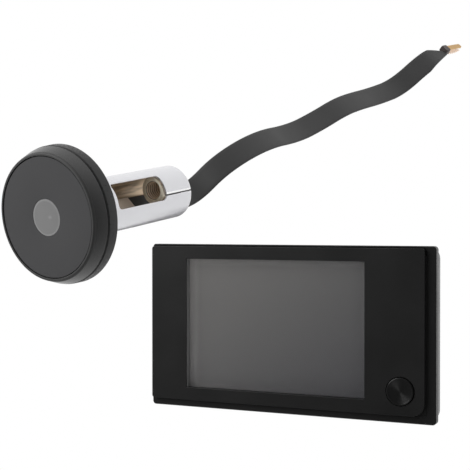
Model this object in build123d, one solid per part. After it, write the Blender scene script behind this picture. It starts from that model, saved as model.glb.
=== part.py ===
from build123d import *
import math
import os

# Peephole door camera: an indoor monitor that hangs on a steel bracket, and the outdoor
# camera unit with its flat cable, which stands apart from it as one of a pair.
# Millimetres. +X is the viewer's right, +Y points into the door, +Z is up.
# The origin is the centre of the bracket's rear face, which lies on the door.

# Sizes of the display and of the face around it
window_width = 74.7
window_height = 52.0
window_left_margin = 16.4
window_right_margin = 26.9
window_top_margin = 5.9
window_bottom_margin = 8.1
window_draft = 0.1
pane_thick = 0.8
pane_lap = 1.0
gasket_thick = 0.3
gasket_from_window = 0.25
lcd_thick = 1.5
lcd_side_lap = 1.65
lcd_top_lap = 1.4
backlight_thick = 2.2
backlight_rim = 0.8
flex_width = 16.0
flex_thick = 0.3

# Sizes of the monitor's shell
panel_proud = 1.8
panel_skirt = 0.6
panel_right_margin = 3.9
panel_bottom_margin = 3.0
panel_top_margin = 0.9
panel_big_corner = 5.0
panel_small_corner = 1.1
frame_depth = 3.5
frame_corner = 1.4
frame_edge = 0.35
groove_width = 0.4
groove_depth = 0.6
case_depth = 15.6
case_straight = 4.0
case_inset = 0.3
case_taper = 5.0
case_corner = 4.5
case_wall = 1.5
seat_gap = 0.1
slide_gap = 0.3

# Sizes of the button and its switch
button_radius = 5.2
button_from_right = 13.1
button_from_bottom = 12.0
button_proud = 0.5
button_dish = 0.25
button_edge = 0.35
button_gap = 0.3
button_flange_radius = 6.2
button_flange = 0.8
button_travel = 0.6
stem_radius = 1.5
plunger_radius = 1.7
plunger_gap = 0.1
plunger_proud = 1.2
switch_side = 6.0
switch_height = 3.3
switch_floor = 0.5

# Sizes of the cells, their bay and its sliding cover
cell_count = 3
cell_radius = 5.2
cell_length = 43.5
cell_nub_radius = 1.9
cell_nub = 1.0
cell_space = 0.25
bay_from_left = 8.45
bay_wall = 1.2
bay_side_wall = 2.9
bay_end_room = 2.0
contact_side = 8.0
contact_thick = 0.4
spring_base = 3.2
spring_tip = 1.8
cover_ledge = 0.7
cover_tongue = 1.0
cover_tongue_thick = 0.7
cover_ridge_count = 4
cover_ridge_height = 0.3
cover_ridge_width = 0.9
cover_ridge_pitch = 2.2
cover_ridge_length = 14.0
cover_ridge_inset = 5.0

# Sizes of the main board and what it carries
board_thick = 1.2
board_gap = 1.8
board_from_bay = 3.25
board_from_right = 5.8
board_from_top = 6.5
board_notch = 3.3
post_radius = 2.1
post_from_left = 4.0
post_from_right = 12.7
post_from_top = 2.5
board_screw_radius = 0.9
board_screw_head = 1.8
board_screw_head_height = 0.9
board_screw_length = 5.0
chip_sizes = ((12.0, 12.0, 1.2), (8.0, 11.0, 1.0), (5.0, 5.0, 0.9))
chip_place_shares = ((0.15, 0.3), (0.15, -0.34), (0.6, 0.08))
socket_from_left = 12.8
socket_width = 5.0
socket_height = 11.0
socket_depth = 2.0
socket_slot_share = 0.4
port_from_left = 8.3
port_width = 17.0
port_height = 18.0

# Sizes of the screws that close the case
case_screw_from_top = 9.5
case_screw_from_bottom = 25.0
case_screw_radius = 1.0
case_screw_head = 1.9
case_screw_sink = 1.0
case_boss_radius = 2.7
gusset_gap = 0.55
gusset_height = 12.4

# Sizes of the wall bracket
bracket_width = 60.0
bracket_thick = 1.2
bracket_corner = 3.0
bracket_gap = 0.3
hook_from_side = 6.0
hook_from_top = 4.2
hook_from_bay = 6.575
hook_width = 5.0
hook_thick = 1.2
hook_lip = 2.6
lift_travel = 3.0
door_screw_spacing = 40.0
door_screw_radius = 2.1
door_screw_sink = 3.9
through_screw_radius = 2.7
cable_slot_from_barrel = 1.0
cable_slot_width = 10.0
cable_slot_height = 12.0
cable_slot_corner = 2.0

# Place and sizes of the outdoor unit; its own frame has the face at 0 and +Y to its rear
outdoor_place = (8.1, -196.4, 42.7)
outdoor_yaw = 12.06
outdoor_pitch = 9.05
rim_radius = 15.2
joint_radius = 16.65
back_radius = 16.8
front_ring_depth = 3.6
back_ring_depth = 2.9
rim_width = 0.6
pocket_depth = 1.15
faceplate_radius = 14.4
faceplate_thick = 1.0
ring_floor = 1.2
ring_wall = 1.9
joint_edge = 0.2
lens_window_radius = 4.4
lens_window_thick = 0.75
lens_window_dome = 0.12
lens_bore = 4.0
lens_radius = 3.8
lens_start = 1.6
lens_end = 9.0
lens_wall = 0.8
element_thick = 1.8
holder_start = 6.2
holder_end = 11.5
sensor_side = 6.0
sensor_thick = 0.9
sensor_room = 2.0
camera_board_thick = 0.8
camera_socket_width = 7.8
camera_socket_thick = 1.4
camera_socket_depth = 1.2
gasket_radius = 15.8
door_gasket_thick = 0.8
head_screw_count = 3
head_screw_circle = 11.8
head_screw_radius = 0.9
head_screw_head = 1.7
head_screw_sink = 0.9
head_boss_radius = 2.1

# Sizes of the barrel and what it holds
barrel_radius = 7.0
barrel_wall = 0.8
barrel_length = 40.0
barrel_flange_radius = 9.0
barrel_flange = 1.0
barrel_window_start = 11.5
barrel_window_length = 18.2
barrel_window_width = 6.9
barrel_window_corner = 1.2
barrel_window_angle = 22.0
slit_width = 0.45
slit_angle = 2.3
insert_radius = 3.8
insert_offset = 3.2
insert_angle = 30.0
insert_start = 30.1
insert_length = 7.0
insert_edge = 0.3
insert_bore = 2.1
insert_mouth = 2.45
cable_turn = -46.5

# Sizes of the flat cable and of the piece on its end
cable_width = 7.0
cable_thick = 0.7
plug_length = 2.4
plug_width = 2.8
plug_thick = 1.9
plug_aside = 1.3
plug_lift = 0.25
tongue_length = 7.4
tongue_width = 2.3
tongue_thick = 0.5
tongue_lift = 0.7
stiffener_length = 9.0
stiffener_width = 2.0
stiffener_thick = 0.3
stiffener_aside = 0.9
stiffener_lift = -0.5

# Route of the cable's bending stretch, which starts inside the barrel beside the insert. The
# first value runs along the barrel from its end, the second goes across the cable's flat side
# from the barrel's middle.
cable_route = (
    (-12.0, -3.9),
    (-4.0, -3.9),
    (3.0, -4.8),
    (12.0, -3.0),
    (15.8, 8.0),
    (28.5, 15.5),
    (45.0, 16.0),
    (54.3, 20.1),
    (61.7, 24.8),
    (69.0, 26.6),
    (80.0, 27.8),
    (92.2, 30.6),
    (98.0, 41.0),
    (103.4, 43.7),
    (108.8, 44.4),
)
arc_share = 0.45
overrun = 1.0

# Places on the monitor's face, counted from its middle, that the sizes above give
monitor_width = window_left_margin + window_width + window_right_margin
monitor_height = window_bottom_margin + window_height + window_top_margin
window_x = (window_left_margin - window_right_margin) / 2
window_z = (window_bottom_margin - window_top_margin) / 2
lcd_width = window_width + 2 * lcd_side_lap
lcd_height = window_height + 2 * lcd_top_lap
frame_rail = window_top_margin - lcd_top_lap - backlight_rim - slide_gap
gusset_width = window_left_margin - lcd_side_lap - backlight_rim - frame_rail - gusset_gap
case_screw_x = monitor_width / 2 - frame_rail - gusset_width / 2
case_screw_z = monitor_height / 2 - case_screw_from_top
case_screw_low_z = case_screw_from_bottom - monitor_height / 2
button_x = monitor_width / 2 - button_from_right
button_z = button_from_bottom - monitor_height / 2
bay_length = cell_length + cell_nub + 2 * bay_end_room
bay_left = bay_from_left - monitor_width / 2
bay_right = bay_left + bay_length
cell_pitch = 2 * cell_radius + cell_space
bay_half_height = cell_pitch * cell_count / 2 + cell_space
board_left = bay_right + board_from_bay
board_right = monitor_width / 2 - board_from_right
board_half_height = monitor_height / 2 - board_from_top
post_low_x = board_left + post_from_left
post_high_x = board_right - post_from_right
post_z = board_half_height - post_from_top
socket_x = board_left + socket_from_left
port_x = board_left + port_from_left
cable_slot_x = barrel_radius + cable_slot_from_barrel
hook_x = bracket_width / 2 - hook_from_side
hook_z = bay_half_height + hook_from_bay
bracket_height = 2 * (hook_z + hook_from_top)

# Depths along Y that the sizes above give
case_back = -(bracket_thick + bracket_gap)
case_front = case_back - case_depth
frame_front = case_front - frame_depth
panel_front = frame_front - panel_proud
panel_back = frame_front + panel_skirt
pane_back = panel_back + pane_thick
gasket_back = pane_back + gasket_thick
lcd_back = gasket_back + lcd_thick
backlight_back = lcd_back + backlight_thick
wall_front = case_back - case_wall
board_front = backlight_back + board_gap
board_back = board_front + board_thick
barrel_start = front_ring_depth + back_ring_depth
barrel_end = barrel_start + barrel_length
barrel_bore = barrel_radius - barrel_wall
cell_depth = wall_front - slide_gap - cell_space - cell_radius
bay_floor_back = cell_depth - cell_radius - cell_space
bay_floor_front = backlight_back + cell_space


def slab(x_low, x_high, y_low, y_high, z_low, z_high):
    size = (x_high - x_low, y_high - y_low, z_high - z_low)
    return Pos(x_low, y_low, z_low) * Box(*size, align=(Align.MIN, Align.MIN, Align.MIN))


def facing(depth):
    # A plane at this depth whose sketch is drawn as the viewer in front of the door sees it
    return Plane(origin=(0, depth, 0), x_dir=(1, 0, 0), z_dir=(0, -1, 0))


def pushed(sketch, start, end):
    return extrude(facing(start) * sketch, end - start, dir=(0, 1, 0))


def rod(radius, start, end, x=0, z=0):
    return pushed(Pos(x, z) * Circle(radius), start, end)


def rounded(width, height, corner, start, end, x=0, z=0):
    return pushed(Pos(x, z) * RectangleRounded(width, height, corner), start, end)


def frame_block(x_middle, z_middle, width, height, start, end):
    half_width = width / 2
    half_height = height / 2
    low = z_middle - half_height
    high = z_middle + half_height
    return slab(x_middle - half_width, x_middle + half_width, start, end, low, high)


def tapered(wide, narrow, start, end):
    return loft([facing(start) * wide, facing(end) * narrow], ruled=True)


def turned(points):
    # A ring or disc from its half section, given as (radius, depth) points
    return revolve(make_face(Polyline(*points, close=True)), Axis.Y, 360)


def corners(x, z):
    return [(x, z), (-x, z), (x, -z), (-x, -z)]


def case_screw_places():
    # The button takes the lower right corner, so that screw sits above it
    upper = [(case_screw_x, case_screw_z), (-case_screw_x, case_screw_z)]
    return upper + [(-case_screw_x, -case_screw_z), (case_screw_x, case_screw_low_z)]


# The monitor's front


def panel_outline(shrink=0.0):
    left = -monitor_width / 2 + shrink
    right = monitor_width / 2 - panel_right_margin - shrink
    low = -monitor_height / 2 + panel_bottom_margin + shrink
    high = monitor_height / 2 - panel_top_margin - shrink
    outline = Pos((left + right) / 2, (low + high) / 2) * Rectangle(right - left, high - low)
    by_side = outline.vertices().sort_by(Axis.X)
    big = by_side[-2:].sort_by(Axis.Y)[0]
    outline = fillet(big, panel_big_corner - shrink)
    small = []
    for vertex in outline.vertices():
        if min(abs(vertex.Y - high), abs(vertex.X - left)) < panel_small_corner:
            small.append(vertex)
    return fillet(small, panel_small_corner)


def window_block(start, end):
    front = Pos(window_x, window_z) * Rectangle(window_width, window_height)
    back = Pos(window_x, window_z) * Rectangle(
        window_width - 2 * window_draft, window_height - 2 * window_draft
    )
    return tapered(front, back, start, end)


def front_opening(shrink, start, end):
    width = monitor_width - 2 * (frame_rail + shrink)
    height = monitor_height - 2 * (frame_rail + shrink)
    return frame_block(0, 0, width, height, start, end)


def front_frame():
    body = rounded(monitor_width, monitor_height, frame_corner, frame_front, case_front)
    body = chamfer(body.faces().sort_by(Axis.Y)[0].edges(), frame_edge)
    opening = front_opening(0, frame_front - overrun, case_front + overrun)
    middle = (monitor_width - gusset_width) / 2 - frame_rail
    for x, z in case_screw_places():
        side = math.copysign(middle, x)
        opening -= frame_block(
            side, z, gusset_width, gusset_height, panel_back + seat_gap, case_front + 2 * overrun
        )
    body -= opening
    groove = pushed(panel_outline(-groove_width), frame_front - overrun, frame_front + groove_depth)
    body -= groove - pushed(panel_outline(), frame_front - 2 * overrun, frame_front + 2 * groove_depth)
    for x, z in case_screw_places():
        body -= rod(case_screw_radius, panel_back, case_front + overrun, x, z)
    return body


def display_panel():
    body = pushed(panel_outline(), panel_front, frame_front)
    body += front_opening(seat_gap, frame_front, panel_back)
    body -= window_block(panel_front, panel_back)
    body -= rod(button_radius + button_gap, panel_front - overrun, panel_back + overrun, button_x, button_z)
    return body


def display_window():
    width = window_width + 2 * pane_lap
    height = window_height + 2 * pane_lap
    return rounded(width, height, pane_lap, panel_back, pane_back, window_x, window_z)


def lcd_gasket():
    outer = frame_block(window_x, window_z, lcd_width, lcd_height, pane_back, gasket_back)
    width = window_width + 2 * gasket_from_window
    height = window_height + 2 * gasket_from_window
    return outer - frame_block(window_x, window_z, width, height, pane_back - overrun, gasket_back + overrun)


def lcd_panel():
    return frame_block(window_x, window_z, lcd_width, lcd_height, gasket_back, lcd_back)


def lcd_backlight():
    width = lcd_width + 2 * backlight_rim
    height = lcd_height + 2 * backlight_rim
    tray = frame_block(window_x, window_z, width, height, gasket_back, backlight_back)
    return tray - frame_block(window_x, window_z, lcd_width, lcd_height, gasket_back - overrun, lcd_back)


def lcd_flex():
    start_x = window_x + lcd_width / 2 + backlight_rim
    turn_x = start_x + flex_width / 4
    middle = (lcd_back + backlight_back) / 2
    low = window_z - flex_width / 2
    high = window_z + flex_width / 2
    out = slab(start_x, turn_x + flex_thick, middle, middle + flex_thick, low, high)
    back = slab(turn_x, turn_x + flex_thick, middle, board_front, low, high)
    return out + back


# The button and its switch


def view_button():
    back = panel_back + seat_gap
    front = panel_front - button_proud
    face = [
        (0, front + button_dish),
        (button_radius - 2 * button_edge, front),
        (button_radius - button_edge, front),
        (button_radius, front + button_edge),
        (button_radius, back),
        (button_flange_radius, back),
        (button_flange_radius, back + button_flange),
        (stem_radius, back + button_flange),
        (stem_radius, switch_front() - plunger_proud),
        (0, switch_front() - plunger_proud),
    ]
    return Pos(button_x, 0, button_z) * turned(face)


def switch_front():
    return board_front - switch_height


def tact_switch():
    body = frame_block(button_x, button_z, switch_side, switch_side, switch_front(), board_front)
    return body - rod(
        plunger_radius + plunger_gap, switch_front() - overrun, board_front - switch_floor, button_x, button_z
    )


def switch_plunger():
    end = board_front - switch_floor - button_travel - slide_gap
    return rod(plunger_radius, switch_front() - plunger_proud, end, button_x, button_z)


# The monitor's back


def case_shell(shrink, start, end):
    width = monitor_width - 2 * (case_inset + shrink)
    height = monitor_height - 2 * (case_inset + shrink)
    corner = case_corner - shrink
    bend = case_front + case_straight
    share = (end - bend) / (case_back - bend)
    wide = RectangleRounded(width, height, corner)
    narrow = RectangleRounded(width - 2 * case_taper * share, height - 2 * case_taper * share, corner)
    return pushed(wide, start, bend) + tapered(wide, narrow, bend, end)


def bay_block(wall_x, wall_z, start, end):
    return slab(
        bay_left - wall_x, bay_right + wall_x, start, end, -bay_half_height - wall_z, bay_half_height + wall_z
    )


def cover_slot():
    half = bay_half_height + cover_ledge + slide_gap
    right = bay_right + bay_wall / 2 + slide_gap
    low = wall_front - slide_gap
    slot = slab(-monitor_width / 2, right, low, case_back + overrun, -half, half)
    tongue_half = half + cover_tongue
    lip = wall_front + cover_tongue_thick + slide_gap
    return slot + slab(-monitor_width / 2, right, low, lip, -tongue_half, tongue_half)


def hook_slot(x, z):
    # The slot's top edge hangs on the hook, and its lip comes free when the monitor is lifted
    half_width = hook_width / 2 + slide_gap
    top = z + hook_thick / 2 + slide_gap
    low = z - hook_thick / 2 - lift_travel - slide_gap
    return slab(x - half_width, x + half_width, wall_front - overrun, case_back + overrun, low, top)


def rear_case():
    body = case_shell(0, case_front, case_back) - case_shell(case_wall, case_front - overrun, wall_front)
    for x, z in case_screw_places():
        body += rod(case_boss_radius, case_front, wall_front, x, z)
    for x in (post_low_x, post_high_x):
        for z in (-post_z, post_z):
            body += rod(post_radius, board_back, wall_front, x, z)
            body -= rod(board_screw_radius, board_back - overrun, board_back + board_screw_length, x, z)
    body += bay_block(bay_wall, bay_side_wall, bay_floor_front, wall_front)
    body -= bay_block(0, 0, bay_floor_back, case_back + overrun)
    body -= cover_slot()
    for x, z in case_screw_places():
        body -= rod(case_screw_radius + slide_gap / 2, case_front - overrun, case_back + overrun, x, z)
        body -= rod(case_screw_head + slide_gap / 2, case_back - case_screw_sink, case_back + overrun, x, z)
    for x, z in corners(hook_x, hook_z):
        body -= hook_slot(x, z)
    return body - frame_block(port_x, 0, port_width, port_height, wall_front - overrun, case_back + overrun)


def case_screws():
    group = []
    for x, z in case_screw_places():
        head_front = case_back - case_screw_sink
        screw = rod(case_screw_head, head_front, case_back, x, z)
        slot_front = case_back - case_screw_sink / 2
        slot = frame_block(x, z, case_screw_head, case_screw_radius / 2, slot_front, case_back)
        shank_end = case_front - frame_depth / 2
        group.append(screw - slot + rod(case_screw_radius - seat_gap / 2, shank_end, head_front, x, z))
    return group


def battery_cover():
    left = -(monitor_width / 2 - case_inset - case_taper) + case_wall / 2
    right = bay_right + bay_wall / 2
    half = bay_half_height + cover_ledge
    body = slab(left, right, wall_front, case_back, -half, half)
    tongue = half + cover_tongue
    body += slab(left, right, wall_front, wall_front + cover_tongue_thick, -tongue, tongue)
    for index in range(cover_ridge_count):
        x = left + cover_ridge_inset + index * cover_ridge_pitch
        body -= frame_block(
            x, 0, cover_ridge_width, cover_ridge_length, case_back - cover_ridge_height, case_back + overrun
        )
    return body


def cell_rows():
    return [cell_pitch * (index - (cell_count - 1) / 2) for index in range(cell_count)]


def cell_ends(index):
    # Cells lie in turn the one way and the other, as their contacts ask
    start = bay_left + bay_end_room
    way = 1 if index % 2 == 0 else -1
    return start, start + cell_length + cell_nub, way


def aaa_cells():
    group = []
    for index, z in enumerate(cell_rows()):
        low, high, way = cell_ends(index)
        flat, tip = (low, high) if way > 0 else (high, low)
        shoulder = tip - way * cell_nub
        places = ((cell_radius, flat, shoulder), (cell_nub_radius, shoulder, tip))
        cell = None
        for radius, start, end in places:
            turn = Plane(origin=(start, cell_depth, z), x_dir=(0, 1, 0), z_dir=(way, 0, 0))
            step = extrude(turn * Circle(radius), abs(end - start))
            cell = step if cell is None else cell + step
        group.append(cell)
    return group


def battery_contacts():
    group = []
    for z in cell_rows():
        for x in (bay_left, bay_right - contact_thick):
            half = contact_side / 2
            group.append(slab(x, x + contact_thick, cell_depth - half, cell_depth + half, z - half, z + half))
    return group


def battery_springs():
    # One cone spring presses on the flat end of each cell
    group = []
    for index, z in enumerate(cell_rows()):
        low, high, way = cell_ends(index)
        foot = bay_left + contact_thick if way > 0 else bay_right - contact_thick
        flat = low if way > 0 else high
        height = abs(flat - foot) - seat_gap
        turn = Plane(origin=(foot, cell_depth, z), x_dir=(0, 1, 0), z_dir=(way, 0, 0))
        outer = Cone(spring_base, spring_tip, height, align=(Align.CENTER, Align.CENTER, Align.MIN))
        inner = Cone(
            spring_base - contact_thick,
            spring_tip - contact_thick,
            height,
            align=(Align.CENTER, Align.CENTER, Align.MIN),
        )
        group.append(turn.location * (outer - inner))
    return group


# The main board


def main_board():
    body = slab(board_left, board_right, board_front, board_back, -board_half_height, board_half_height)
    for z in (case_screw_z, case_screw_low_z):
        start = board_front - overrun
        end = board_back + overrun
        body -= rod(board_notch, start, end, case_screw_x, z)
        body -= slab(case_screw_x, board_right + overrun, start, end, z - board_notch, z + board_notch)
    for x in (post_low_x, post_high_x):
        for z in (-post_z, post_z):
            body -= rod(board_screw_radius + seat_gap, board_front - overrun, board_back + overrun, x, z)
    return body


def board_screws():
    group = []
    for x in (post_low_x, post_high_x):
        for z in (-post_z, post_z):
            head = rod(board_screw_head, board_front - board_screw_head_height, board_front, x, z)
            end = board_back + board_screw_length - seat_gap
            group.append(head + rod(board_screw_radius - seat_gap / 2, board_front, end, x, z))
    return group


def board_chips():
    middle = (board_left + board_right) / 2
    half_width = (board_right - board_left) / 2
    group = []
    for (width, height, thick), (x_share, z_share) in zip(chip_sizes, chip_place_shares):
        x = middle + x_share * half_width
        z = z_share * board_half_height
        group.append(frame_block(x, z, width, height, board_back, board_back + thick))
    return group


def ribbon_socket():
    body = frame_block(socket_x, 0, socket_width, socket_height, board_back, board_back + socket_depth)
    half = cable_width / 2 + slide_gap
    slot_depth = socket_depth * socket_slot_share
    mouth = board_back + (socket_depth - slot_depth) / 2
    edge = socket_x - socket_width / 2 - overrun
    return body - slab(edge, socket_x, mouth, mouth + slot_depth, -half, half)


# The bracket on the door


def hook(x, z):
    root_front = wall_front - slide_gap
    root = frame_block(x, z, hook_width, hook_thick, root_front - hook_thick, -bracket_thick)
    lip_top = z + hook_thick / 2 + hook_lip
    return root + slab(
        x - hook_width / 2, x + hook_width / 2, root_front - hook_thick, root_front, z, lip_top
    )


def wall_bracket():
    body = rounded(bracket_width, bracket_height, bracket_corner, -bracket_thick, 0)
    for x in (-door_screw_spacing / 2, door_screw_spacing / 2):
        body -= rod(door_screw_radius, -bracket_thick - overrun, overrun, x, 0)
        front = -bracket_thick
        middle = -bracket_thick / 2
        sink = [(0, front), (door_screw_sink, front), (door_screw_radius, middle), (0, middle)]
        body -= Pos(x, 0, 0) * turned(sink)
    # The outdoor unit faces the other way in use, so its threaded insert lies mirrored here
    start = -bracket_thick - overrun
    insert_x, insert_z = insert_place()
    body -= rod(through_screw_radius, start, overrun, -insert_x, insert_z)
    body -= rounded(cable_slot_width, cable_slot_height, cable_slot_corner, start, overrun, cable_slot_x)
    for x, z in corners(hook_x, hook_z):
        body += hook(x, z)
    return body


# The outdoor unit, in its own frame


def front_ring():
    floor_front = pocket_depth
    floor_back = floor_front + ring_floor
    body = turned(
        [
            (lens_bore, floor_front),
            (rim_radius - rim_width, floor_front),
            (rim_radius - rim_width, 0),
            (rim_radius - rim_width / 3, 0),
            (rim_radius, rim_width / 3),
            (joint_radius - joint_edge / 2, front_ring_depth - joint_edge),
            (joint_radius - joint_edge, front_ring_depth),
            (joint_radius - ring_wall, front_ring_depth),
            (joint_radius - ring_wall, floor_back),
            (lens_bore, floor_back),
        ]
    )
    boss_end = barrel_start - ring_floor
    for x, z in head_screw_places():
        body += rod(head_boss_radius, floor_front + ring_floor / 2, boss_end, x, z)
        body -= rod(head_screw_radius, floor_back, boss_end + overrun, x, z)
    return body


def back_ring():
    floor_front = barrel_start - ring_floor
    body = turned(
        [
            (barrel_radius + seat_gap, floor_front),
            (joint_radius - ring_wall, floor_front),
            (joint_radius - ring_wall, front_ring_depth),
            (joint_radius - joint_edge, front_ring_depth),
            (joint_radius, front_ring_depth + joint_edge),
            (back_radius, barrel_start - joint_edge),
            (back_radius - joint_edge, barrel_start),
            (barrel_radius + seat_gap, barrel_start),
        ]
    )
    for x, z in head_screw_places():
        body -= rod(head_screw_radius + seat_gap, floor_front - overrun, barrel_start + overrun, x, z)
        body -= Pos(x, 0, z) * turned(screw_head_section(seat_gap))
    return body


def head_screw_places():
    places = []
    for index in range(head_screw_count):
        angle = math.radians(90 + 360 * index / head_screw_count)
        places.append((head_screw_circle * math.cos(angle), head_screw_circle * math.sin(angle)))
    return places


def screw_head_section(room=0.0):
    return [
        (0, barrel_start - head_screw_sink),
        (head_screw_radius + room, barrel_start - head_screw_sink),
        (head_screw_head + room, barrel_start),
        (0, barrel_start),
    ]


def head_screws():
    group = []
    for x, z in head_screw_places():
        shank_start = pocket_depth + ring_floor + seat_gap
        shank = rod(head_screw_radius - seat_gap / 2, shank_start, barrel_start - head_screw_sink / 2, x, z)
        group.append(Pos(x, 0, z) * turned(screw_head_section()) + shank)
    return group


def faceplate():
    front = pocket_depth - faceplate_thick
    plate = rod(faceplate_radius, front, pocket_depth)
    plate = chamfer(plate.faces().sort_by(Axis.Y)[0].edges(), (pocket_depth - faceplate_thick) / 2)
    return plate - rod(lens_window_radius + seat_gap / 2, front - overrun, pocket_depth + overrun)


def domed_disc(radius, top, edge_depth, back):
    edge = (radius, edge_depth)
    quarter_drop = (edge_depth - top) / 4
    dome = ThreePointArc((0, top), (radius / 2, top + quarter_drop), edge)
    sides = Polyline(edge, (radius, back), (0, back), (0, top))
    return revolve(make_face([dome, sides]), Axis.Y, 360)


def lens_window():
    front = pocket_depth - lens_window_thick
    return domed_disc(lens_window_radius, front - lens_window_dome, front, pocket_depth)


def lens_barrel():
    body = rod(lens_radius, lens_start, lens_end)
    return body - rod(lens_radius - lens_wall, lens_start - overrun, lens_end + overrun)


def lens_elements():
    radius = lens_radius - lens_wall - seat_gap / 2
    group = []
    for start in (lens_start + seat_gap, lens_end - seat_gap - element_thick):
        group.append(domed_disc(radius, start, start + element_thick / 3, start + element_thick))
    return group


def sensor_holder():
    body = rod(barrel_bore - seat_gap, holder_start, holder_end)
    body -= rod(lens_radius + seat_gap / 2, holder_start - overrun, holder_end + overrun)
    room = sensor_side + sensor_room
    return body - frame_block(0, 0, room, room, holder_end - sensor_room, holder_end + overrun)


def image_sensor():
    return frame_block(0, 0, sensor_side, sensor_side, holder_end - sensor_thick, holder_end)


def camera_board():
    return rod(barrel_bore - seat_gap, holder_end, holder_end + camera_board_thick)


def flat_run(width, thick, start, end):
    # A bar along the barrel, in line with the start of the cable's route
    origin = Vector(0, start, 0) + cable_up() * cable_route[0][1]
    plane = Plane(origin=origin, x_dir=cable_across(), z_dir=(0, 1, 0))
    return extrude(plane * Rectangle(width, thick), end - start)


def camera_socket():
    start = holder_end + camera_board_thick
    return flat_run(camera_socket_width, camera_socket_thick, start, start + camera_socket_depth)


def door_gasket():
    end = barrel_start + door_gasket_thick
    body = rod(gasket_radius, barrel_start, end)
    return body - rod(barrel_radius + seat_gap, barrel_start - overrun, end + overrun)


def barrel():
    start = barrel_start - ring_floor
    body = rod(barrel_flange_radius, start - barrel_flange, start) + rod(barrel_radius, start, barrel_end)
    body -= rod(barrel_bore, start - barrel_flange - overrun, barrel_end + overrun)
    middle = barrel_start + barrel_window_start + barrel_window_length / 2
    angle = math.radians(barrel_window_angle)
    outward = Vector(math.cos(angle), 0, math.sin(angle))
    window = Plane(origin=(0, middle, 0), x_dir=(0, 1, 0), z_dir=outward)
    opening = RectangleRounded(barrel_window_length, barrel_window_width, barrel_window_corner)
    body -= extrude(window * opening, barrel_radius + overrun)
    slit = slab(0, barrel_radius + overrun, middle, barrel_end + overrun, -slit_width / 2, slit_width / 2)
    return body - Rot(Y=-slit_angle) * slit


def insert_place():
    angle = math.radians(insert_angle)
    return insert_offset * math.cos(angle), insert_offset * math.sin(angle)


def threaded_insert():
    x, z = insert_place()
    start = barrel_start + insert_start
    end = start + insert_length
    body = rod(insert_radius, start, end, x, z)
    body = chamfer(body.faces().sort_by(Axis.Y)[0].edges(), insert_edge)
    body &= rod(barrel_bore - seat_gap / 2, start, end)
    body -= rod(insert_bore, start - overrun, end + overrun, x, z)
    mouth_end = start + insert_mouth - insert_bore
    mouth = [(0, start), (insert_mouth, start), (insert_bore, mouth_end), (0, mouth_end)]
    return body - Pos(x, 0, z) * turned(mouth)


def cable_across():
    angle = math.radians(cable_turn)
    return Vector(math.cos(angle), 0, math.sin(angle))


def cable_up():
    return cable_across().cross(Vector(0, 1, 0))


def ribbon_inside():
    start = holder_end + camera_board_thick + camera_socket_depth
    return flat_run(cable_width, cable_thick, start, barrel_end + cable_route[0][0])


def route_points():
    origin = Vector(0, barrel_end, 0)
    return [origin + Vector(0, 1, 0) * along + cable_up() * across for along, across in cable_route]


def route_radii():
    points = route_points()
    radii = []
    for before, here, after in zip(points, points[1:], points[2:]):
        turn = math.radians((here - before).get_angle(after - here))
        radii.append(arc_share * min((here - before).length, (after - here).length) / math.tan(turn / 2))
    return radii


def route_line():
    return FilletPolyline(*route_points(), radius=route_radii())


def ribbon_cable():
    line = route_line()
    start = Plane(origin=line @ 0, x_dir=cable_across(), z_dir=line % 0)
    return sweep(start * Rectangle(cable_width, cable_thick), line)


def end_frame():
    line = route_line()
    return Plane(origin=line @ 1, x_dir=cable_across(), z_dir=line % 1)


def end_block(width, thick, length, aside, lift, start):
    block = Box(width, thick, length, align=(Align.CENTER, Align.CENTER, Align.MIN))
    return end_frame().location * Pos(-aside, -lift, start) * block


def ribbon_plug():
    return end_block(plug_width, plug_thick, plug_length, plug_aside, plug_lift, 0)


def ribbon_contacts():
    return end_block(tongue_width, tongue_thick, tongue_length, plug_aside, tongue_lift, plug_length)


def ribbon_stiffener():
    return end_block(
        stiffener_width,
        stiffener_thick,
        stiffener_length,
        stiffener_aside,
        stiffener_lift,
        plug_length,
    )


monitor_pieces = {
    "front_frame": front_frame,
    "display_panel": display_panel,
    "display_window": display_window,
    "lcd_gasket": lcd_gasket,
    "lcd_panel": lcd_panel,
    "lcd_backlight": lcd_backlight,
    "lcd_flex": lcd_flex,
    "view_button": view_button,
    "tact_switch": tact_switch,
    "switch_plunger": switch_plunger,
    "rear_case": rear_case,
    "case_screws": case_screws,
    "battery_cover": battery_cover,
    "aaa_cells": aaa_cells,
    "battery_contacts": battery_contacts,
    "battery_springs": battery_springs,
    "main_board": main_board,
    "board_screws": board_screws,
    "board_chips": board_chips,
    "ribbon_socket": ribbon_socket,
    "wall_bracket": wall_bracket,
}

outdoor_pieces = {
    "front_ring": front_ring,
    "back_ring": back_ring,
    "head_screws": head_screws,
    "faceplate": faceplate,
    "lens_window": lens_window,
    "lens_barrel": lens_barrel,
    "lens_elements": lens_elements,
    "sensor_holder": sensor_holder,
    "image_sensor": image_sensor,
    "camera_board": camera_board,
    "camera_socket": camera_socket,
    "door_gasket": door_gasket,
    "barrel": barrel,
    "threaded_insert": threaded_insert,
    "ribbon_inside": ribbon_inside,
    "ribbon_cable": ribbon_cable,
    "ribbon_plug": ribbon_plug,
    "ribbon_contacts": ribbon_contacts,
    "ribbon_stiffener": ribbon_stiffener,
}

outdoor_seat = Pos(*outdoor_place) * Rot(Z=-outdoor_yaw) * Rot(X=outdoor_pitch)


def save(name, made, seat):
    pieces = made if isinstance(made, list) else [made]
    solids = [seat * solid for piece in pieces for solid in piece.solids()]
    export_step(Compound(children=solids), os.path.join("parts", name + ".step"))


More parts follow.
